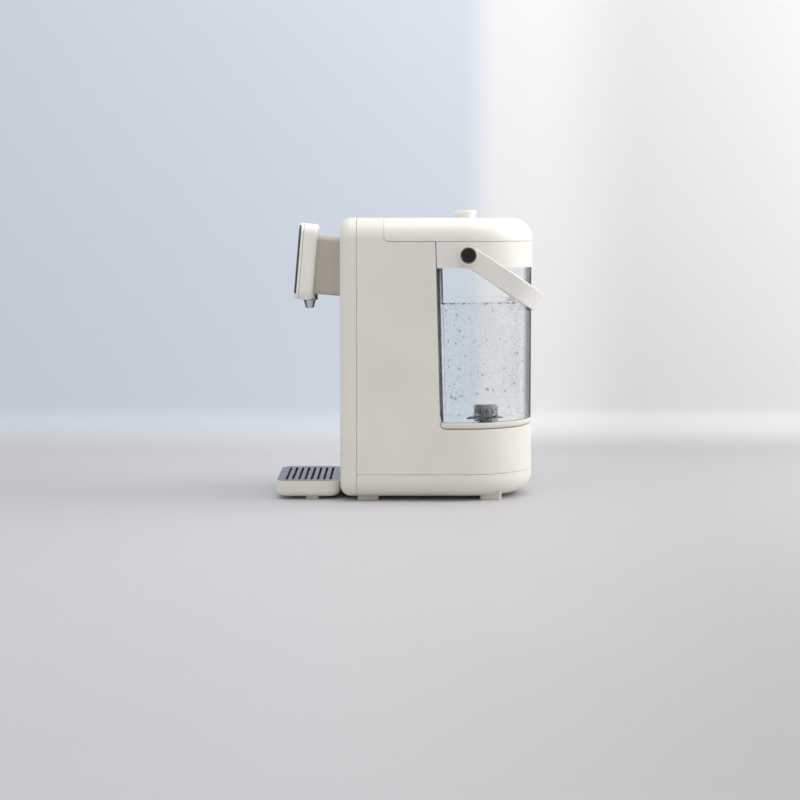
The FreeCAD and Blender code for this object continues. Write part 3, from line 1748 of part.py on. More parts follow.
def heater_guards():
    """The cut-out disc that lies on the heater's side, and the sensor screwed into its upper cap."""
    side = "(heater_radius + 0.1)"
    height = "heater_bottom + heater_length / 2"
    disc = rod("cutout_disc", "Y", "6", side, f"{side} + 6", "heater_place", height)
    pins = [
        block(
            "cutout_pin",
            (f"heater_place + {place} * 3 - 0.4", f"heater_place + {place} * 3 + 0.4"),
            (f"{side} + 5", f"{side} + 12"),
            (f"{height} - 1.5", f"{height} + 1.5"),
        )
        for place in (-1, 1)
    ]
    publish("thermal_cutout", join("cutout", disc, *pins))
    top = "heater_bottom + heater_length + heater_cap / 2"
    probe = rod("sensor_probe", "Y", "2.05", "7", "heater_radius + heater_cap_rim + 1", "heater_place", top)
    head = rod(
        "sensor_head",
        "Y",
        "3.5",
        "heater_radius + heater_cap_rim",
        "heater_radius + heater_cap_rim + 6",
        "heater_place",
        top,
    )
    publish("temperature_sensor", join("sensor", probe, head))


board_front = "(chassis_place + chassis_thick + board_gap)"


def boards():
    """The control board and the power board, on short posts behind the frame."""
    posts = []
    screws = []
    for side, name in ((-1, "control_board"), (1, "power_board")):
        near = f"({half_width} - shell_wall - board_inset - board_width)"
        y = (near, f"{near} + board_width") if side > 0 else (f"-({near}) - board_width", f"-({near})")
        plate = block(
            name + "_plate", (board_front, f"{board_front} + board_thick"), y, ("board_low", "board_high")
        )
        solids = [plate]
        step = "(board_high - board_low) / 5"
        for place in range(3):
            low = f"board_low + ({place} + 0.75) * {step}"
            tall = 5 if side < 0 else 14
            part_y = (f"{y[0]} + 8", f"{y[1]} - {12 + 6 * place}")
            solids.append(
                block(
                    name + "_chip",
                    (
                        f"{board_front} + board_thick / 2",
                        f"{board_front} + board_thick + {tall - 1.5 * place}",
                    ),
                    part_y,
                    (low, f"{low} + {step} * 0.75"),
                )
            )
        holes = []
        for across in (f"{y[0]} + 4", f"{y[1]} - 4"):
            for height in ("board_low + 4", "board_high - 4"):
                back = "chassis_place + chassis_thick"
                posts.append(rod("board_post", "X", "3", back, board_front, across, height))
                start = f"{board_front} + board_thick + screw_head_height"
                screws.append(
                    screw("board_screw", "X", start, "board_thick + 0.1", across, height, side=-1)
                )
                holes.append(
                    rod(
                        "board_hole",
                        "X",
                        "screw_radius",
                        f"{board_front} - 1",
                        f"{board_front} + 9",
                        across,
                        height,
                    )
                )
        publish(name, cut(name + "_piece", join(name + "_solid", *solids), *holes))
    bored = []
    for post, fixing in zip(posts, screws):
        bored.append(cut("board_post_bored", post, fixing))
    publish("board_posts", group("board_post_set", bored))
    publish("board_screws", group("board_screw_set", screws))


def inlet_block(name, out, depth):
    """A block at the back of the casing, low on the middle line, for the mains inlet or its opening."""
    side = f"inlet_width / 2 + ({out})"
    return block(
        name,
        (f"casing_depth - ({depth})", f"casing_depth + {OVER}" if out != "0" else "casing_depth - 1.4"),
        (f"-({side})", side),
        (f"inlet_height - inlet_tall / 2 - ({out})", f"inlet_height + inlet_tall / 2 + ({out})"),
    )


def power_inlet():
    """The mains inlet in the back of the casing: a deep socket with two pins, held by an inner flange."""
    outer = inlet_block("inlet_case", "0", "inlet_depth")
    flange_x = ("casing_depth - inlet_depth", "casing_depth - inlet_depth + 2.5")
    flange = block(
        "inlet_flange",
        flange_x,
        ("-inlet_width / 2 - 5", "inlet_width / 2 + 5"),
        ("inlet_height - inlet_tall / 2 - 4", "inlet_height + inlet_tall / 2 + 4"),
    )
    cavity = new_body("inlet_cavity")
    outline = rounded_rectangle(
        "-inlet_width / 2 + 4",
        "inlet_width / 2 - 4",
        "inlet_height - inlet_tall / 2 + 5",
        "inlet_height + inlet_tall / 2 - 5",
        "(inlet_tall - 10) * 0.48",
    )
    pad(cavity, "YZ", "casing_depth - inlet_depth + 4", f"casing_depth + {OVER}", outline)
    pins = []
    bores = []
    for side in (-1, 1):
        low = "casing_depth - inlet_depth - 4"
        y = f"{side} * inlet_width / 6"
        pins.append(rod("inlet_pin", "X", "1.2", low, "casing_depth - 5", y, "inlet_height"))
        bores.append(rod("inlet_pin_bore", "X", "1.2", low, "casing_depth", y, "inlet_height"))
    publish("power_inlet", cut("inlet_piece", join("inlet_solid", outer, flange), cavity, *bores))
    publish("inlet_pins", group("inlet_pin_pair", pins))


BUILDERS = (
    front_shell, neck_housing, main_shell, base_shell, base_feet, casing_screws, chassis,
    tank_shell, tank_collar, tank_base, tank_gasket, valve_body, tank_strainer, valve_poppet, valve_spring,
    handle_pins, handle, handle_caps, lid_shell, lid_inner, lid_seal, lid_knob, knob_screw,
    head_shell, head_bezel, display_glass, display_board, display_screws, nozzle_collar, nozzle_tip,
    drip_tray, tray_magnets, tray_foot, drip_grid, dock_socket, dock_pin, dock_seal,
    pump_housing, pump_motor, pump_impeller, pump_cradle, dock_hose, feed_hose, delivery_hose,
    heater, heater_bracket, heater_guards, boards, power_inlet,
)
for build in BUILDERS:
    build()
doc.recompute()

faults = [item.Name for item in doc.Objects if {"Invalid", "Error"} & set(item.State)]
for item in nodes:
    shape = item.Shape
    if shape.isNull() or not shape.isValid() or not shape.Solids:
        faults.append(item.Label)
if faults:
    raise RuntimeError("faulty: " + ", ".join(faults))

os.makedirs("parts", exist_ok=True)
for item in nodes:
    item.Shape.exportStep(os.path.join("parts", item.Label + ".step"))
    print(f"{item.Label}: {len(item.Shape.Solids)} solid(s), {item.Shape.Volume / 1000:.2f} cm3")
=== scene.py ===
# %% [markdown]
# # A formula water dispenser, dressed for its picture
#
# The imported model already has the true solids: a white casing with a tilted head on a short neck, a
# clear tank with a bail handle, a lid, and a drip tray. This lesson gives them their finishes, pours the
# water with its bubbles, lights the panel, and sets up a small studio. Lengths are metres, Z is up, the
# head looks towards -X and the camera looks along +Y.

import math

import bmesh
import bpy
import numpy as np
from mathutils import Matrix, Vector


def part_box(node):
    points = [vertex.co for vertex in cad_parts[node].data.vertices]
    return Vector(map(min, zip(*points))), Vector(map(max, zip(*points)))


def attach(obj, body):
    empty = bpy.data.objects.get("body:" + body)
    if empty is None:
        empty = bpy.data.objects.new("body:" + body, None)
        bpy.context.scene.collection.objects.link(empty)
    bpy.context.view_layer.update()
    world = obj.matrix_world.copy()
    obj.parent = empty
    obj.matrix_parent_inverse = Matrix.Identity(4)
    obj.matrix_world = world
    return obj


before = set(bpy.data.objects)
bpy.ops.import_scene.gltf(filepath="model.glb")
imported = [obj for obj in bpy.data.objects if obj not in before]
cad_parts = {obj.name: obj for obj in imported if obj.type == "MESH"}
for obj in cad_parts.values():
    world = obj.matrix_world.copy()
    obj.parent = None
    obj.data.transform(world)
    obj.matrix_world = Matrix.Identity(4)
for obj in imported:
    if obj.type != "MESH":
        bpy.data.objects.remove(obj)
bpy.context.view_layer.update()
front_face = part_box("front_shell")[0][0]

# %% [markdown]
# ## The camera
#
# The picture was taken with a long lens, level with the top of the casing and a little in front of its
# middle, tipped down by about four degrees. A wider lens nearer by could give the same height in the
# frame, but the lid's far edge and the tray would open up. The focal length in pixels is turned into
# millimetres on a 36 mm sensor, and the small shift puts the middle of the shot where it was cropped.

# %% Camera
picture_width = 800
focal_pixels = 1820
optical_centre = 355.5
tip_down = 4.38

lens = bpy.data.cameras.new("studio_camera")
lens.sensor_width = 36
lens.lens = lens.sensor_width * focal_pixels / picture_width
lens.shift_y = (optical_centre - picture_width / 2) / picture_width
lens.clip_end = 20
camera = bpy.data.objects.new("studio_camera", lens)
camera.location = (-0.0136, -2.1825, 0.332)
camera.rotation_euler = (math.radians(90 - tip_down), 0, 0)
bpy.context.scene.collection.objects.link(camera)
bpy.context.scene.camera = camera
print("lens", round(lens.lens, 1), "mm, shift", round(lens.shift_y, 4))

# %% [markdown]
# ## Sums on shader wires
#
# A finish is worked out from a few signals: a noise, a height, a mask. Written as plain sums they are easy
# to read, so one small class stands for a wire, and its operators add the Math nodes. Every other node
# comes from one method that takes the node's type, its settings and what goes into its sockets.

# %% Signals


class Signal:
    """A number, colour or vector on its way through a material's nodes."""

    def __init__(self, tree, socket=None):
        self.tree = tree
        self.socket = socket

    def node(self, kind, settings=None, sockets=None, output=0):
        """Add any node: first its settings, then the value or the Signal of each of its sockets."""
        made = self.tree.nodes.new(kind)
        for name, value in (settings or {}).items():
            if name == "stops":
                ramp = made.color_ramp.elements
                (ramp[0].position, ramp[0].color), *between, (ramp[1].position, ramp[1].color) = value
                for place, colour in between:
                    ramp.new(place).color = colour
            else:
                setattr(made, name, value)
        for name, value in (sockets or {}).items():
            if isinstance(value, Signal):
                self.tree.links.new(value.socket, made.inputs[name])
            else:
                made.inputs[name].default_value = value
        return Signal(self.tree, made.outputs[output] if made.outputs else None)

    def math(self, operation, *values):
        return self.node("ShaderNodeMath", {"operation": operation}, dict(enumerate(values)))

    def __add__(self, other):
        return self.math("ADD", self, other)

    def __mul__(self, other):
        return self.math("MULTIPLY", self, other)

    def __gt__(self, other):
        return self.math("GREATER_THAN", self, other)

    def __lt__(self, other):
        return self.math("LESS_THAN", self, other)

    __radd__ = __add__
    __rmul__ = __mul__


def begin(name):
    """An empty material, and the Signal that its nodes are added from."""
    material = bpy.data.materials.new(name)
    material.use_nodes = True
    material.node_tree.nodes.clear()
    return material, Signal(material.node_tree)


def screen(red, green, blue):
    """A colour as a screen shows it, 0 to 255, turned linear: ((c + 0.055) / 1.055) to the power 2.4."""
    return (*[((part / 255 + 0.055) / 1.055) ** 2.4 for part in (red, green, blue)], 1.0)


def spot(start):
    """Where a point of the surface lies on the object, in metres."""
    return start.node("ShaderNodeTexCoord", output="Object")


def stretched(start, along):
    """The same place with each axis stretched, so that a pattern runs long on one of them."""
    return start.node("ShaderNodeMapping", {}, {"Vector": spot(start), "Scale": along})


def cloud(start, grain, detail=2.0, where=None):
    """Soft noise of 0 to 1, whose blots are about 1 / grain metres wide."""
    sockets = {"Vector": where or spot(start), "Scale": grain, "Detail": detail}
    return start.node("ShaderNodeTexNoise", {}, sockets, "Fac")


def ramped(start, signal, low, high):
    """0 up to low, 1 from high, and a smooth step between: t * t * (3 - 2 * t)."""
    settings = {"interpolation_type": "SMOOTHSTEP"}
    sockets = {"Value": signal, "From Min": low, "From Max": high}
    return start.node("ShaderNodeMapRange", settings, sockets)


def blend_colour(start, mask, first, second):
    """first where the mask is 0, second where it is 1."""
    return start.node("ShaderNodeMix", {"data_type": "RGBA"}, {0: mask, 6: first, 7: second}, 2)


def coordinate(start, axis):
    """One coordinate of a point of the surface, in metres."""
    return start.node("ShaderNodeSeparateXYZ", {}, {"Vector": spot(start)}, axis)


def surfaced(material, start, colour, roughness, relief=None, depth=0.0001, **even):
    """Close a material: the changing signals feed a Principled surface, and even values are set on it."""
    sockets = {"Base Color": colour, "Roughness": roughness}
    sockets.update({name.replace("_", " "): value for name, value in even.items()})
    if relief is not None:
        sockets["Normal"] = start.node("ShaderNodeBump", {}, {"Height": relief, "Distance": depth}, "Normal")
    shader = start.node("ShaderNodeBsdfPrincipled", {}, sockets)
    start.node("ShaderNodeOutputMaterial", {}, {"Surface": shader})
    return material


# %% [markdown]
# ## White moulded plastic
#
# The casing is a warm white ABS out of a tool with a fine matt texture: no paint, no lacquer. Up close it
# has a spark-eroded grain of a few tenths of a millimetre that breaks up reflections, the gloss drifts a
# little from place to place, and the tint is a touch greyer where hands and dust reach it. A flat colour
# with one roughness would look like paper, so all three are noises at their own scale. The real casing, head
# and neck are most likely one plastic. Here the head is tinted whiter, which is painted light, and the neck
# greyer, which is painted shade for the shade it stands in between head and casing, because the lamps alone
# left them too alike beside the picture. Under other light that difference stays.

# %% Moulded plastics


def moulded(name, base, worn, gloss, grain=2600, depth=0.00003, **even):
    """Plastic from a textured tool: slow clouds between two tints, drifting gloss, and a fine grain."""
    material, start = begin(name)
    drift = cloud(start, 14, 3)
    speck = cloud(start, grain, 1)
    dust = ramped(start, coordinate(start, "Z"), 0.05, 0.0)
    mask = ramped(start, drift, 0.35, 0.75) * 0.75 + dust * 0.25
    colour = blend_colour(start, mask, base, worn)
    roughness = cloud(start, 60, 3) * 0.12 + speck * 0.08 + (gloss - 0.1)
    return surfaced(material, start, colour, roughness, speck, depth, **even)


ivory = moulded("ivory_abs", screen(236, 232, 224), screen(231, 226, 217), 0.38)
ivory_smooth = moulded("ivory_abs_smooth", screen(238, 235, 229), screen(233, 229, 222), 0.3, 1800, 0.00001)
# painted light: the head's tint is whiter than the casing's.
head_ivory_painted_light = moulded("head_ivory_painted_light", screen(252, 248, 243), screen(247, 243, 237), 0.36)
foot_ivory = moulded("foot_elastomer", screen(214, 209, 200), screen(204, 198, 189), 0.6, 1500, 0.00005)
# painted shade: the neck's tint is greyer, for the shade between head and casing.
neck_ivory_painted_shade = moulded("neck_ivory_painted_shade", screen(196, 190, 180), screen(188, 182, 171), 0.42)
inner_grey = moulded("inner_grey", screen(176, 178, 180), screen(166, 168, 170), 0.45)
strainer_grey = moulded("strainer_grey", screen(120, 126, 132), screen(104, 110, 116), 0.4)
dark_plastic = moulded("dark_plastic", screen(38, 37, 38), screen(48, 47, 47), 0.42)
cap_brown = moulded("cap_dark_brown", screen(6, 3, 1), screen(12, 7, 4), 0.45, 900, 0.000008)
nylon = moulded("grey_nylon", screen(118, 122, 124), screen(104, 107, 109), 0.5)
milky_rubber = moulded(
    "milky_silicone",
    screen(208, 211, 210),
    screen(196, 199, 197),
    0.5,
    1200,
    0.00002,
    Transmission_Weight=0.25,
)
print("plastics:", [material.name for material in bpy.data.materials if "abs" in material.name])

# %% [markdown]
# ## Clear and smoked plastic
#
# The tub is clear copolyester, three millimetres thick. What shows its shape is its edge: where the wall
# turns away from the eye, light has a long way through it and comes out dark and blue. The material is
# glass-like, with faint moulding waves in its relief and hairline wiping scratches in its gloss, and a
# painted shade darkens its edge by how far the surface faces away. That share is given because refraction
# by itself came out paler than the picture. Shadow rays are let through straight, as bent light seldom gets
# there. The water bends light much less than real water would, so that the wall behind it still reads
# through the tub as it does in the picture. The bubbles are clear beads among fine white ones; their dark
# edges come partly from refraction and partly from painted shade, and the grid on the tray is the tub's
# plastic, smoked.

# %% Clear plastics


def clear(name, tint, index, gloss, waves, depth, soak=0.0, edge=0.0):
    """See-through plastic or water: waves in its relief, a thin veil of wiping marks, and a painted shade
    that darkens the edge by the given share where the surface turns away from the eye."""
    material, start = begin(name)
    marks = cloud(start, 90, 4, stretched(start, (1.0, 1.0, 14.0)))
    roughness = ramped(start, marks, 0.55, 0.8) * 0.03 + gloss
    veiled = (*[part * 0.985 for part in tint[:3]], 1)
    veil = blend_colour(start, ramped(start, cloud(start, 30, 2), 0.4, 0.8), tint, veiled)
    wave = cloud(start, waves, 1)
    bump = start.node("ShaderNodeBump", {}, {"Height": wave, "Distance": depth}, "Normal")
    look = {"Base Color": veil, "Roughness": roughness, "IOR": index, "Normal": bump}
    body = start.node("ShaderNodeBsdfPrincipled", {}, {**look, "Transmission Weight": 1.0})
    open_way = start.node("ShaderNodeBsdfTransparent", {}, {"Color": tint})
    shadow = start.node("ShaderNodeLightPath", output="Is Shadow Ray")
    # painted shade: a dark see-through layer over the edge where the surface turns away from the eye.
    if edge:
        turned = start.node("ShaderNodeLayerWeight", {}, {"Blend": 0.5}, "Facing")
        share = ramped(start, turned, 0.54, 0.88) * edge
        painted_edge_shade = start.node("ShaderNodeBsdfTransparent", {}, {"Color": (0.10, 0.13, 0.16, 1)})
        body = start.node("ShaderNodeMixShader", {}, {0: share, 1: body, 2: painted_edge_shade})
    shader = start.node("ShaderNodeMixShader", {}, {0: shadow, 1: body, 2: open_way})
    closed = {"Surface": shader}
    if soak:
        soaked = {"Color": (0.50, 0.62, 0.68, 1), "Density": soak}
        closed["Volume"] = start.node("ShaderNodeVolumeAbsorption", {}, soaked)
    start.node("ShaderNodeOutputMaterial", {}, closed)
    return material


tub_clear = clear("tub_clear", (0.985, 0.993, 0.996, 1), 1.40, 0.01, 30, 0.0002, soak=9.0, edge=0.85)
fitting_clear = clear("fitting_clear", (0.90, 0.93, 0.94, 1), 1.46, 0.06, 400, 0.00004)
water_clear = clear("water", (0.985, 0.992, 0.995, 1), 1.03, 0.0, 60, 0.0002)
bubble_clear = clear("air_bubble", (0.86, 0.90, 0.94, 1), 1.5, 0.0, 500, 0.00001, edge=0.55)
fizz_white = moulded("fizz_white", screen(238, 242, 246), screen(226, 231, 236), 0.3, 2000, 0.000002)
smoked = moulded(
    "smoked_grid", screen(80, 85, 99), screen(92, 98, 112), 0.2, 700, 0.00001, Transmission_Weight=0.35
)

# %% [markdown]
# ## Metals
#
# Four kinds: bright chrome on the outlet, darker turned rings round the handle's caps, brushed stainless
# steel on the heater, frame and pump, and nickel on pins, screws and magnets. Chrome is nearly a mirror, so
# it takes its look from the room. This room is pale all round, so the chrome carries a painted reflection:
# its own tint darkens towards its sides, where a real room's darker parts would show. The brushed steel has
# long fine scratches, made by squeezing a noise across the brushing direction.

# %% Metals


def metal(name, base, dull, gloss, squeeze, fineness, depth):
    """Bare metal: a noise stretched by squeeze along its brushing, in tint, gloss and relief."""
    material, start = begin(name)
    brushed = cloud(start, fineness, 4, stretched(start, squeeze))
    patina = ramped(start, cloud(start, 40, 3), 0.4, 0.8)
    colour = blend_colour(start, patina, base, dull)
    roughness = brushed * 0.1 + (gloss - 0.05)
    return surfaced(material, start, colour, roughness, brushed, depth, Metallic=1.0)


chrome, start = begin("chrome")
turned = start.node("ShaderNodeLayerWeight", {}, {"Blend": 0.5}, "Facing")
drift = cloud(start, 300, 2)
bright = blend_colour(start, drift, screen(205, 206, 209), screen(190, 191, 194))
# painted reflection: the tint darkens towards the sides, standing in for a darker room.
rim = blend_colour(start, ramped(start, turned, 0.12, 0.42), bright, screen(84, 84, 86))
surfaced(chrome, start, rim, drift * 0.06 + 0.06, drift, 0.000002, Metallic=1.0)

all_ways, along_height, along_width = (1, 1, 1), (1, 1, 30), (1, 30, 1)
warm_grey, dull_bronze = screen(150, 140, 132), screen(112, 102, 94)
ring_metal = metal("ring_metal", warm_grey, dull_bronze, 0.16, all_ways, 600, 0.000002)
steel_light, steel_dull = screen(186, 187, 188), screen(170, 170, 170)
brushed_steel = metal("brushed_steel", steel_light, steel_dull, 0.34, along_height, 60, 0.00001)
nickel = metal("nickel", screen(190, 188, 182), screen(176, 172, 164), 0.25, along_width, 90, 0.000004)

# %% [markdown]
# ## Glass panel and circuit boards
#
# The head's face is one sheet of dark glass over the display, printed near black from behind, with a clear
# coat over it and a few soft smudges on that. A board is green solder mask over copper
# tracks. The tracks are drawn as bricks whose mortar is the bare mask, and whatever stands higher than
# the board itself is a black component.

# %% Panel glass
panel_glass, start = begin("panel_glass")
smudge = ramped(start, cloud(start, 45, 4), 0.5, 0.85)
border = blend_colour(start, cloud(start, 22, 2), screen(52, 53, 57), screen(64, 66, 70))
gloss = smudge * 0.09 + 0.08
surfaced(panel_glass, start, border, gloss, smudge, 0.000004, Coat_Weight=1.0, Coat_Roughness=0.03)

# %% Circuit board


def board_finish(name, axis, level, above):
    """Solder mask with brick-laid tracks. Past the level on the axis the surface is black component."""
    material, start = begin(name)
    flat = start.node("ShaderNodeMapping", {}, {"Vector": spot(start), "Rotation": (0, math.pi / 2, 0)})
    shades = {"Color1": (0, 0, 0, 1), "Color2": (0, 0, 0, 1), "Mortar": (1, 1, 1, 1)}
    tracks = start.node(
        "ShaderNodeTexBrick",
        {"offset": 0.35},
        {"Vector": flat, "Scale": 90.0, "Mortar Size": 0.035, **shades},
        "Fac",
    )
    green = blend_colour(start, cloud(start, 300, 2), screen(24, 84, 52), screen(34, 104, 64))
    copper = blend_colour(start, tracks, green, screen(96, 142, 84))
    place = coordinate(start, axis)
    chip = place > level if above else place < level
    colour = blend_colour(start, chip, copper, screen(36, 36, 38))
    return surfaced(material, start, colour, chip * 0.2 + 0.32, tracks, 0.00002)


board_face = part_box("control_board")[0][0] + 0.0017
green_board = board_finish("circuit_board", "X", board_face, True)
print("materials so far:", len(bpy.data.materials))

# %% [markdown]
# ## Dressing the solids
#
# Each node of the model keeps its shape and gets the finish of what it is made of. The list is by finish,
# so that a missing node is easy to see: the sum of the names has to come to the number of nodes.

# %% Finish of each node
finishes = {
    ivory: ["front_shell", "main_shell", "base_shell", "drip_tray"],
    # The head takes a whiter tint, painted light, and the neck a greyer one, painted shade.
    head_ivory_painted_light: ["head_shell", "head_bezel"],
    neck_ivory_painted_shade: ["neck_housing"],
    ivory_smooth: ["tank_collar", "tank_base", "lid_shell", "lid_knob", "handle"],
    foot_ivory: ["base_feet", "tray_foot"],
    inner_grey: ["lid_inner", "heater_lower_cap", "heater_upper_cap", "pump_cradle",
                 "board_posts", "dock_pin"],
    strainer_grey: ["tank_strainer"],
    dark_plastic: ["pump_housing", "power_inlet", "dock_socket"],
    cap_brown: ["handle_caps"],
    nylon: ["pump_impeller", "thermal_cutout"],
    milky_rubber: ["dock_hose", "feed_hose", "delivery_hose", "dock_seal", "tank_gasket", "lid_seal",
                   "valve_poppet"],
    tub_clear: ["tank_shell"],
    fitting_clear: ["valve_body"],
    smoked: ["drip_grid"],
    panel_glass: ["display_glass"],
    chrome: ["nozzle_collar", "nozzle_tip"],
    brushed_steel: ["heater_tube", "heater_bracket", "chassis_frame", "pump_motor"],
    nickel: ["casing_screws", "display_screws", "board_screws", "knob_screw", "handle_pins", "valve_spring",
             "temperature_sensor", "tray_magnets", "casing_magnets", "inlet_pins"],
    green_board: ["display_board", "control_board", "power_board"],
}
for material, names in finishes.items():
    for name in names:
        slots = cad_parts[name].data.materials
        slots.clear()
        slots.append(material)
undressed = sorted(set(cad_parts) - {name for names in finishes.values() for name in names})
print("dressed", sum(len(names) for names in finishes.values()), "nodes, left:", undressed)

# %% [markdown]
# ## Skins from rings
#
# The new pieces are closed skins through stacked rings. A ring is one closed line of points, the next ring
# has as many, and quads join them. A point in the middle shuts each end. That one helper makes the water,
# a bubble and a bar on the panel. A band has no ends: its last ring joins its first, as round a cap. numpy
# lays out all the points at once.

# %% Skin helpers


def skin(rings):
    """Points and faces through rings of shape (stations, around, 3). Quad (k, j) joins rings k and k + 1
    between points j and j + 1, and each end ring fans to its own middle."""
    stations, around = rings.shape[:2]
    here = np.arange(stations * around).reshape(stations, around)
    ahead = np.roll(here, -1, axis=1)
    quads = np.stack([here[:-1], ahead[:-1], ahead[1:], here[1:]], axis=-1).reshape(-1, 4)
    first, last = stations * around, stations * around + 1
    fans = [
        np.stack([ahead[0], here[0], np.full(around, first)], axis=-1),
        np.stack([here[-1], ahead[-1], np.full(around, last)], axis=-1),
    ]
    points = np.concatenate([rings.reshape(-1, 3), rings[[0, -1]].mean(axis=1)])
    return points, quads, np.concatenate(fans)


def band(rings):
    """A closed band's points and faces. Quad (k, j) joins rings k and k + 1, and the last ring the first."""
    stations, around = rings.shape[:2]
    here = np.arange(stations * around).reshape(stations, around)
    ahead = np.roll(here, -1, axis=1)
    over, corner = np.roll(here, -1, axis=0), np.roll(ahead, -1, axis=0)
    quads = np.stack([here, ahead, corner, over], axis=-1).reshape(-1, 4)
    return rings.reshape(-1, 3), quads, np.zeros((0, 3), dtype=int)


def piece(name, parts, material, body, smooth=True):
    """One mesh from several skins, with its normals turned outwards, riding on a body."""
    points, faces, base = [], [], 0
    for dots, quads, fans in parts:
        points.append(dots)
        faces += (quads + base).tolist() + (fans + base).tolist()
        base += len(dots)
    mesh = bpy.data.meshes.new(name)
    mesh.from_pydata(np.concatenate(points).tolist(), [], faces)
    turned = bmesh.new()
    turned.from_mesh(mesh)
    bmesh.ops.recalc_face_normals(turned, faces=turned.faces)
    turned.to_mesh(mesh)
    turned.free()
    mesh.polygons.foreach_set("use_smooth", np.full(len(mesh.polygons), smooth))
    mesh.materials.append(material)
    made = bpy.data.objects.new(name, mesh)
    bpy.context.scene.collection.objects.link(made)
    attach(made, body)
    print(name, len(mesh.vertices), "points,", len(mesh.polygons), "faces")
    return made


# %% [markdown]
# ## Bright rings round the handle's caps
#
# Each dark cap sits in a thin bright ring, pressed over its rim. It could be a painted edge, but then it
# would not catch the light as a turned ring does. Its section is a small half-round, carried once round the
# pivot: x = r cos t, z = r sin t, and y stands out of the cap's own face by up to 0.4 millimetres.

# %% Cap rings
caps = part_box("handle_caps")
cap_x = (caps[0][0] + caps[1][0]) / 2
cap_z = (caps[0][2] + caps[1][2]) / 2
cap_radius = (caps[1][2] - caps[0][2]) / 2
turn = np.linspace(0, 2 * np.pi, 65)[:-1]


def cap_ring(side):
    """A band round one cap. Each corner of its section says how far it lies out of the cap's rim and face."""
    face = caps[1][1]
    inside, foot = -0.0006, -0.0012
    crown = [(0.0010, -0.0002), (0.0006, 0.0003), (-0.0001, 0.0004)]
    section = [(inside, foot), (0.0009, foot), *crown, (inside, 0.0)]
    rings = [
        np.stack([
            cap_x + (cap_radius + grow) * np.cos(turn),
            np.full(turn.size, side * (face + out)),
            cap_z + (cap_radius + grow) * np.sin(turn),
        ], axis=-1)
        for grow, out in section
    ]
    return band(np.array(rings))


piece("cap_rings", [cap_ring(-1), cap_ring(1)], ring_metal, "handle")

# %% [markdown]
# ## The water
#
# The water stands at about three quarters of what shows of the tub. Water touches the tub all round, so its
# skin is the tub's own inside drawn in by a tenth of a millimetre: two skins in the same place would
# flicker. Its plan is a D, a flat front with two small corners, straight sides and a half-round back, and
# the front leans as the tub does. A box cut with a boolean would do, but then the rounded lower edge and
# the curl of water up the wall would be missing. Here one ring is drawn for each height, and a well is left
# round the strainer.

# %% Water
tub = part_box("tank_shell")
wall = 0.0031
half_wide = tub[1][1] - wall
back = tub[1][0] - wall
water_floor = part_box("tank_base")[1][2] + 0.0001
water_top = 0.2325
dock = sum(corner[0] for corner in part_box("valve_body")) / 2
well_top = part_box("tank_strainer")[1][2] + 0.0004
well_radius = 0.0156
front_low, front_high = front_face + 0.12135, front_face + 0.11600
lean = (front_high - front_low) / (tub[1][2] - water_floor)


def tub_ring(height, inset=0.0, corner=0.003):
    """The tub's inside at a height, drawn in by an inset: two corner arcs, two sides and a half circle."""
    front = front_low + lean * (height - water_floor) + inset
    wide = half_wide - inset
    middle = back - half_wide
    corner = max(corner - inset, 0.0008)
    quarter = np.linspace(0, np.pi / 2, 8)
    rear = np.linspace(-np.pi / 2, np.pi / 2, 73)
    side = np.linspace(0.0, 1.0, 20)[1:-1]
    face = np.linspace(-1.0, 1.0, 30)[1:-1]
    near_side = np.stack([front + corner + side * (middle - front - corner), np.full(side.size, -wide)], -1)
    arcs = [
        np.stack([front + corner - corner * np.cos(quarter), -wide + corner - corner * np.sin(quarter)], -1),
        near_side,
        np.stack([middle + wide * np.cos(rear), wide * np.sin(rear)], -1),
        near_side[::-1] * (1, -1),
        np.stack([front + corner - corner * np.sin(quarter), wide - corner + corner * np.cos(quarter)], -1),
        np.stack([np.full(face.size, front), -face * (wide - corner)], -1),
    ]
    plan = np.concatenate(arcs)
    return np.concatenate([plan, np.full((len(plan), 1), height)], axis=1)


def around_dock(radius, height):
    """A circle round the outlet, a point towards each point of the tub's ring: centre + radius * unit."""
    ring = tub_ring(height)
    away = ring[:, :2] - (dock, 0)
    away /= np.linalg.norm(away, axis=1, keepdims=True)
    return np.concatenate([(dock, 0) + radius * away, np.full((len(ring), 1), height)], axis=1)


def towards(ring, centre, share):
    """A ring drawn in towards a centre: centre + (ring - centre) * share."""
    middle = np.array([*centre, 0.0])
    return middle + (ring - middle) * (share, share, 1.0)


curl = 0.0005
curl_reach = 0.0014
curl_rings = [
    tub_ring(water_top + curl * (1 - step) ** 2, curl_reach * step) for step in np.linspace(0, 1, 6)
]
rounding = 0.0008
bottom = [
    tub_ring(water_floor + rounding * (1 - math.cos(turn)), rounding * (1 - math.sin(turn)))
    for turn in (0, 0.5, 1.0, 1.5)
]
walls = [tub_ring(height) for height in np.linspace(water_floor + 0.002, water_top, 12)]
surface = [towards(curl_rings[-1], (dock, 0), share) for share in (0.8, 0.6, 0.4, 0.2, 0.05)]
rings = [
    around_dock(0.002, well_top),
    around_dock(well_radius * 0.6, well_top),
    around_dock(well_radius - 0.0015, well_top),
    around_dock(well_radius, well_top - 0.0015),
    around_dock(well_radius, water_floor + 0.0004),
    around_dock(well_radius + 0.0004, water_floor),
    towards(bottom[0], (dock, 0), 0.7),
    *bottom,
    *walls,
    *curl_rings,
    *surface,
]
piece("tank_water", [skin(np.array(rings))], water_clear, "tank")

# %% [markdown]
# ## The bubbles
#
# Fresh water gives off its air as it warms, and the bubbles cling to the wall: hundreds of specks, some
# pearls, a string of froth along the water line, a few large ones that stand out, and a white haze of the
# finest, thicker towards the back. Particles would do, but they would be gone after the export. A small
# ball is laid out once and copied to every place by one sum, and the places come from a seeded draw, so
# that each run gives the same water.

# %% Bubbles
draw = np.random.default_rng(7)


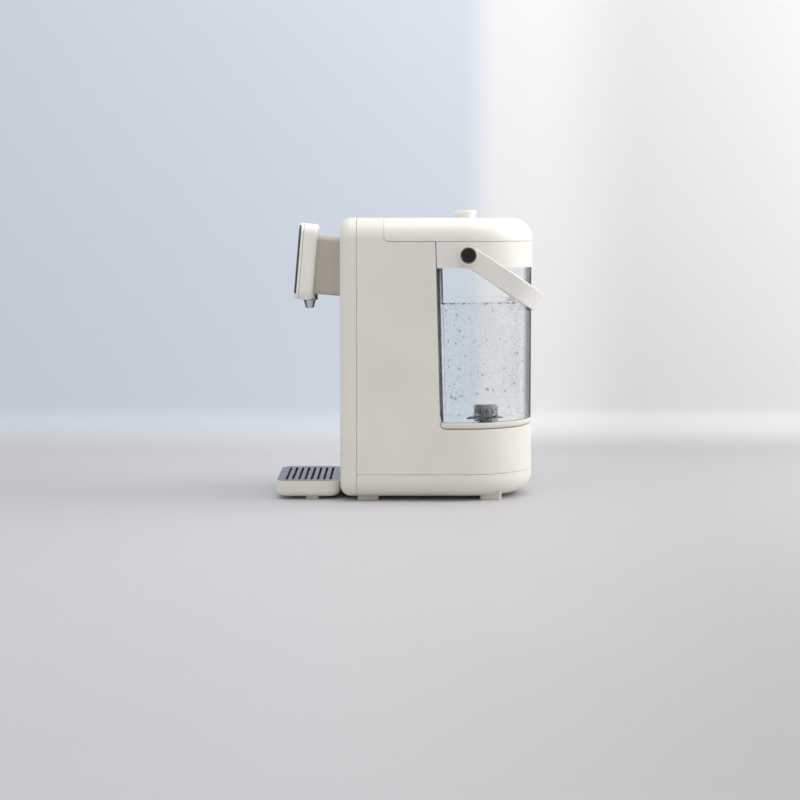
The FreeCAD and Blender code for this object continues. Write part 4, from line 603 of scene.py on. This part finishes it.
def balls(places, radii, squash=1.0):
    """One skin with a ball at each place: place + radius * (sin a cos t, sin a sin t, squash * cos a)."""
    down = np.linspace(0.35, np.pi - 0.35, 5)[:, None]
    turn = np.linspace(0, 2 * np.pi, 9)[:-1][None, :]
    level = np.ones_like(turn)
    unit = np.stack([np.sin(down) * np.cos(turn), np.sin(down) * np.sin(turn), np.cos(down) * level], axis=-1)
    dots, quads, fans = skin(unit)
    dots[-2:, 2] = 1.0, -1.0
    dots = dots * (1.0, 1.0, squash)
    every = np.arange(len(places))[:, None, None] * len(dots)
    spread = places[:, None, :] + radii[:, None, None] * dots[None]
    return spread.reshape(-1, 3), (quads[None] + every).reshape(-1, 4), (fans[None] + every).reshape(-1, 3)


def on_wall(count, low, high, radii):
    """Places along the tub's ring at drawn heights, each one radius and a hair inside the water's skin."""
    heights = draw.uniform(low, high, count)
    along = draw.integers(0, len(tub_ring(low)), count)
    slide = draw.uniform(0, 1, count)
    inset = radii + 0.0003
    rings = np.array([tub_ring(height, gap) for height, gap in zip(heights, inset)])
    here = rings[np.arange(count), along]
    ahead = rings[np.arange(count), (along + 1) % rings.shape[1]]
    return here + (ahead - here) * slide[:, None]


def near_wall(xs, heights, radii):
    """Places on the wall that faces the camera, for the bubbles that stand out most."""
    return np.stack([xs, -half_wide + radii + 0.0003, heights], axis=-1)


specks = draw.uniform(0.00025, 0.00055, 1700)
pearls = draw.uniform(0.0007, 0.0013, 110)
froth = draw.uniform(0.0005, 0.0011, 260)
large_x = np.array([0.052, 0.0555, 0.060, 0.049, 0.066, 0.072, 0.055, 0.082, 0.046, 0.0505, 0.088, 0.076])
large_z = np.array([0.218, 0.199, 0.192, 0.205, 0.214, 0.187, 0.155, 0.148, 0.122, 0.120, 0.131, 0.126])
large = np.array([17, 15, 12, 10, 11, 9, 16, 13, 19, 21, 18, 15]) * 0.0001
bubbles = [
    balls(on_wall(specks.size, water_floor + 0.004, water_top - 0.002, specks), specks),
    balls(on_wall(pearls.size, water_floor + 0.004, water_top - 0.003, pearls), pearls),
    balls(on_wall(froth.size, water_top - 0.0022, water_top - 0.0012, froth), froth, 0.8),
    balls(near_wall(large_x, large_z, large), large),
]
piece("tank_bubbles", bubbles, bubble_clear, "tank")

# %% [markdown]
# Between the beads hangs a haze of the finest ones. Each is too small to show a dark edge, so they are
# plain white dots, and together they pale the water as milk would. A veil over the wall could do the same,
# but it would be even where the real haze is grainy.
# %% White haze


def on_near_half(radii, margin=0.006, gap=0.0006):
    """Places on the half of the tub that faces the camera, more of them towards the back. The wall runs at
    y = -sqrt(w * w - max(x - m, 0) ** 2), where w is half the tub's width and m the middle of its round."""
    reach = back - front_low - margin - 0.008
    xs = front_low + margin + reach * draw.beta(2.2, 1.1, radii.size)
    heights = draw.uniform(water_floor + 0.003, water_top - 0.001, radii.size)
    past_middle = np.maximum(xs - back + half_wide, 0)
    ys = -np.sqrt(np.maximum(half_wide**2 - past_middle**2, 0)) + radii + gap
    return np.stack([xs, ys, heights], axis=-1)


haze = draw.uniform(0.0002, 0.00045, 2300)
piece("tank_fizz", [balls(on_near_half(haze), haze)], fizz_white, "tank")

# %% [markdown]
# ## The panel's figures
#
# The panel shows the temperature of the water as two lit figures with a ring for the degree sign, and
# below them three touch marks: minus, plus and a drop. They are plain signs that any dispenser could have.
# Text objects would need a font, so each figure is made of bars as a lamp display is. Everything is drawn
# flat on the panel, then tipped back by five degrees with the head.

# %% Panel figures
tilt = math.radians(5)
panel_foot = np.array([front_face - 0.0564, 0.0, 0.2342])
out_axis = np.array([-math.cos(tilt), 0.0, math.sin(tilt)])
up_axis = np.array([math.sin(tilt), 0.0, math.cos(tilt)])
right_axis = np.array([0.0, -1.0, 0.0])
proud = 0.00006


def on_panel(outline):
    """A thin plate from a closed line of (right, up) points: foot + right * r + up * u, on the glass."""
    flat = panel_foot + outline[:, :1] * right_axis + outline[:, 1:] * up_axis
    return skin(np.array([flat - 0.00004 * out_axis, flat + proud * out_axis]))


def bar(right, up, length, width, upright):
    """A rounded bar: a straight line with a half circle of points at each end."""
    turn = np.linspace(-np.pi / 2, np.pi / 2, 7)
    reach = (length - width) / 2
    end = np.stack([reach + width / 2 * np.cos(turn), width / 2 * np.sin(turn)], axis=-1)
    line = np.concatenate([end, -end])
    if upright:
        line = np.stack([-line[:, 1], line[:, 0]], axis=-1)
    return on_panel(line + (right, up))


def figure(lit, right, up, tall):
    """A seven-bar figure: the bars named in lit, from a at the top round to f, with g in the middle."""
    half = tall / 4
    places = {
        "a": (0, 2 * half, False),
        "b": (half, half, True),
        "c": (half, -half, True),
        "d": (0, -2 * half, False),
        "e": (-half, -half, True),
        "f": (-half, half, True),
        "g": (0, 0, False),
    }
    bars = []
    for key in lit:
        aside, above, upright = places[key]
        bars.append(bar(right + aside, up + above, 2 * half * 0.88, tall * 0.11, upright))
    return bars


def loop_mark(right, up, radius, width, point=0.0):
    """A closed band of short bars round a circle, drawn out upwards by point into a drop."""
    turn = np.linspace(0, 2 * np.pi, 25)[:-1]
    above = np.clip(np.sin(turn), 0, 1)
    wide = radius * (1 - point * 0.25 * above)
    tall = radius * (1 + point * above**6)
    line = np.stack([wide * np.cos(turn), tall * np.sin(turn)], axis=-1)
    outer = line + (right, up)
    inner = line * (1 - width / radius) + (right, up)
    sheets = []
    for offset in (-0.00004, proud):
        for edge in (outer, inner):
            sheets.append(panel_foot + edge[:, :1] * right_axis + edge[:, 1:] * up_axis + offset * out_axis)
    low_outer, low_inner, high_outer, high_inner = sheets
    return band(np.array([low_inner, low_outer, high_outer, high_inner]))


lamp_white, start = begin("lamp_figures")
glow = blend_colour(start, cloud(start, 800, 2), (0.80, 0.90, 0.98, 1), (0.92, 0.97, 1.0, 1))
surfaced(lamp_white, start, glow, cloud(start, 300) * 0.1 + 0.3, Emission_Color=glow, Emission_Strength=0.9)

print_grey, start = begin("printed_marks")
ink = blend_colour(start, cloud(start, 900, 2), screen(176, 180, 184), screen(198, 201, 205))
surfaced(print_grey, start, ink, cloud(start, 400) * 0.1 + 0.4)

digits = figure("bcfg", -0.0075, 0.060, 0.015) + figure("acdfg", 0.0045, 0.060, 0.015)
digits.append(loop_mark(0.0125, 0.0672, 0.0016, 0.0005))
piece("panel_digits", digits, lamp_white, "root", smooth=False)
marks = [
    bar(-0.016, 0.026, 0.006, 0.0009, False),
    bar(0.016, 0.026, 0.006, 0.0009, False),
    bar(0.016, 0.026, 0.006, 0.0009, True),
    loop_mark(0.0, 0.0255, 0.0030, 0.0006, 0.45),
]
piece("panel_marks", marks, print_grey, "root", smooth=False)

# %% [markdown]
# ## The studio
#
# A pale worktop runs back and curves up into a pale wall. The wall is a soft blue on the left and nearly
# white on the right, with a painted bright band of light behind the tub, so the clear tub, which has no
# colour of its own, shows some of each. A large soft lamp on the right brightens the round back of the
# casing, another overhead the lid, and the wide sky fills the near side. The worktop carries painted shade
# towards the right lamp, so that it comes out even.

# %% Worktop and wall
reach, bend, wall_place, wall_top = 3.2, 0.06, 0.42, 2.4
turn = np.linspace(0, np.pi / 2, 13)
profile = np.concatenate([
    [(-reach, 0.0)],
    np.stack([wall_place - bend + bend * np.sin(turn), bend - bend * np.cos(turn)], axis=-1),
    [(wall_place, wall_top)],
])
across = np.linspace(-reach, reach, 5)
sheet_points = np.array([[(x, y, z - 0.0002) for x in across] for y, z in profile]).reshape(-1, 3)
here = np.arange(len(profile) * len(across)).reshape(len(profile), len(across))
sheet_faces = np.stack([here[:-1, :-1], here[:-1, 1:], here[1:, 1:], here[1:, :-1]], axis=-1).reshape(-1, 4)
sweep_mesh = bpy.data.meshes.new("worktop_and_wall")
sweep_mesh.from_pydata(sheet_points.tolist(), [], sheet_faces.tolist())
sweep_mesh.polygons.foreach_set("use_smooth", np.full(len(sweep_mesh.polygons), True))
sweep = bpy.data.objects.new("worktop_and_wall", sweep_mesh)
bpy.context.scene.collection.objects.link(sweep)

studio, start = begin("worktop_and_wall")
blue_to_white = ramped(start, coordinate(start, "X"), 0.075, 0.125)
# painted light: a brighter band on the wall behind the tub.
painted_bright_band = ramped(start, coordinate(start, "X"), 0.34, 0.17)
white = blend_colour(start, painted_bright_band, screen(226, 227, 229), screen(246, 246, 247))
wall_colour = blend_colour(start, blue_to_white, screen(219, 229, 240), white)
stone = blend_colour(start, cloud(start, 3, 3), screen(198, 197, 198), screen(204, 203, 204))
# painted shade: the worktop darkens towards the right lamp to even out its light.
painted_shade_rightwards = ramped(start, coordinate(start, "X"), -0.1, 0.4)
floor_colour = blend_colour(start, painted_shade_rightwards, stone, screen(176, 175, 176))
rising = ramped(start, coordinate(start, "Z"), 0.0, 0.05)
colour = blend_colour(start, rising, floor_colour, wall_colour)
surfaced(studio, start, colour, cloud(start, 12, 2) * 0.05 + 0.5, cloud(start, 400, 2), 0.00002)
sweep_mesh.materials.append(studio)

# %% Lamps and sky


def soft_lamp(name, place, aim, size, watts, colour):
    """A square soft lamp that looks from its place at a point."""
    lamp = bpy.data.lights.new(name, "AREA")
    lamp.size = size
    lamp.energy = watts
    lamp.color = colour
    made = bpy.data.objects.new(name, lamp)
    made.location = place
    away = np.array(place) - np.array(aim)
    flat = math.hypot(away[0], away[1])
    made.rotation_euler = (math.atan2(flat, away[2]), 0, math.atan2(away[1], away[0]) + math.pi / 2)
    bpy.context.scene.collection.objects.link(made)
    return made


soft_lamp("right_lamp", (1.3, 0.05, 0.75), (0.1, 0, 0.2), 0.9, 13, (1.0, 0.99, 0.97))
soft_lamp("top_lamp", (0.15, -0.2, 1.5), (0.05, 0, 0.3), 1.0, 6.5, (0.98, 0.99, 1.0))
soft_lamp("left_lamp", (-1.2, -1.5, 0.8), (0, 0, 0.2), 0.9, 2.0, (1.0, 0.98, 0.95))

sky = bpy.data.worlds.new("studio_sky")
sky.use_nodes = True
sky.node_tree.nodes.clear()
bpy.context.scene.world = sky
start = Signal(sky.node_tree)
direction = start.node("ShaderNodeTexCoord", output="Generated")
depth = start.node("ShaderNodeSeparateXYZ", {}, {"Vector": direction}, "Y")
behind_camera = ramped(start, depth, -0.35, -0.9)
sky_colour = blend_colour(start, behind_camera, (0.96, 0.97, 1.0, 1), (0.60, 0.58, 0.55, 1))
light = start.node("ShaderNodeBackground", {}, {"Color": sky_colour, "Strength": 0.84})
start.node("ShaderNodeOutputWorld", {}, {"Surface": light})
bpy.context.scene.view_settings.view_transform = "Standard"
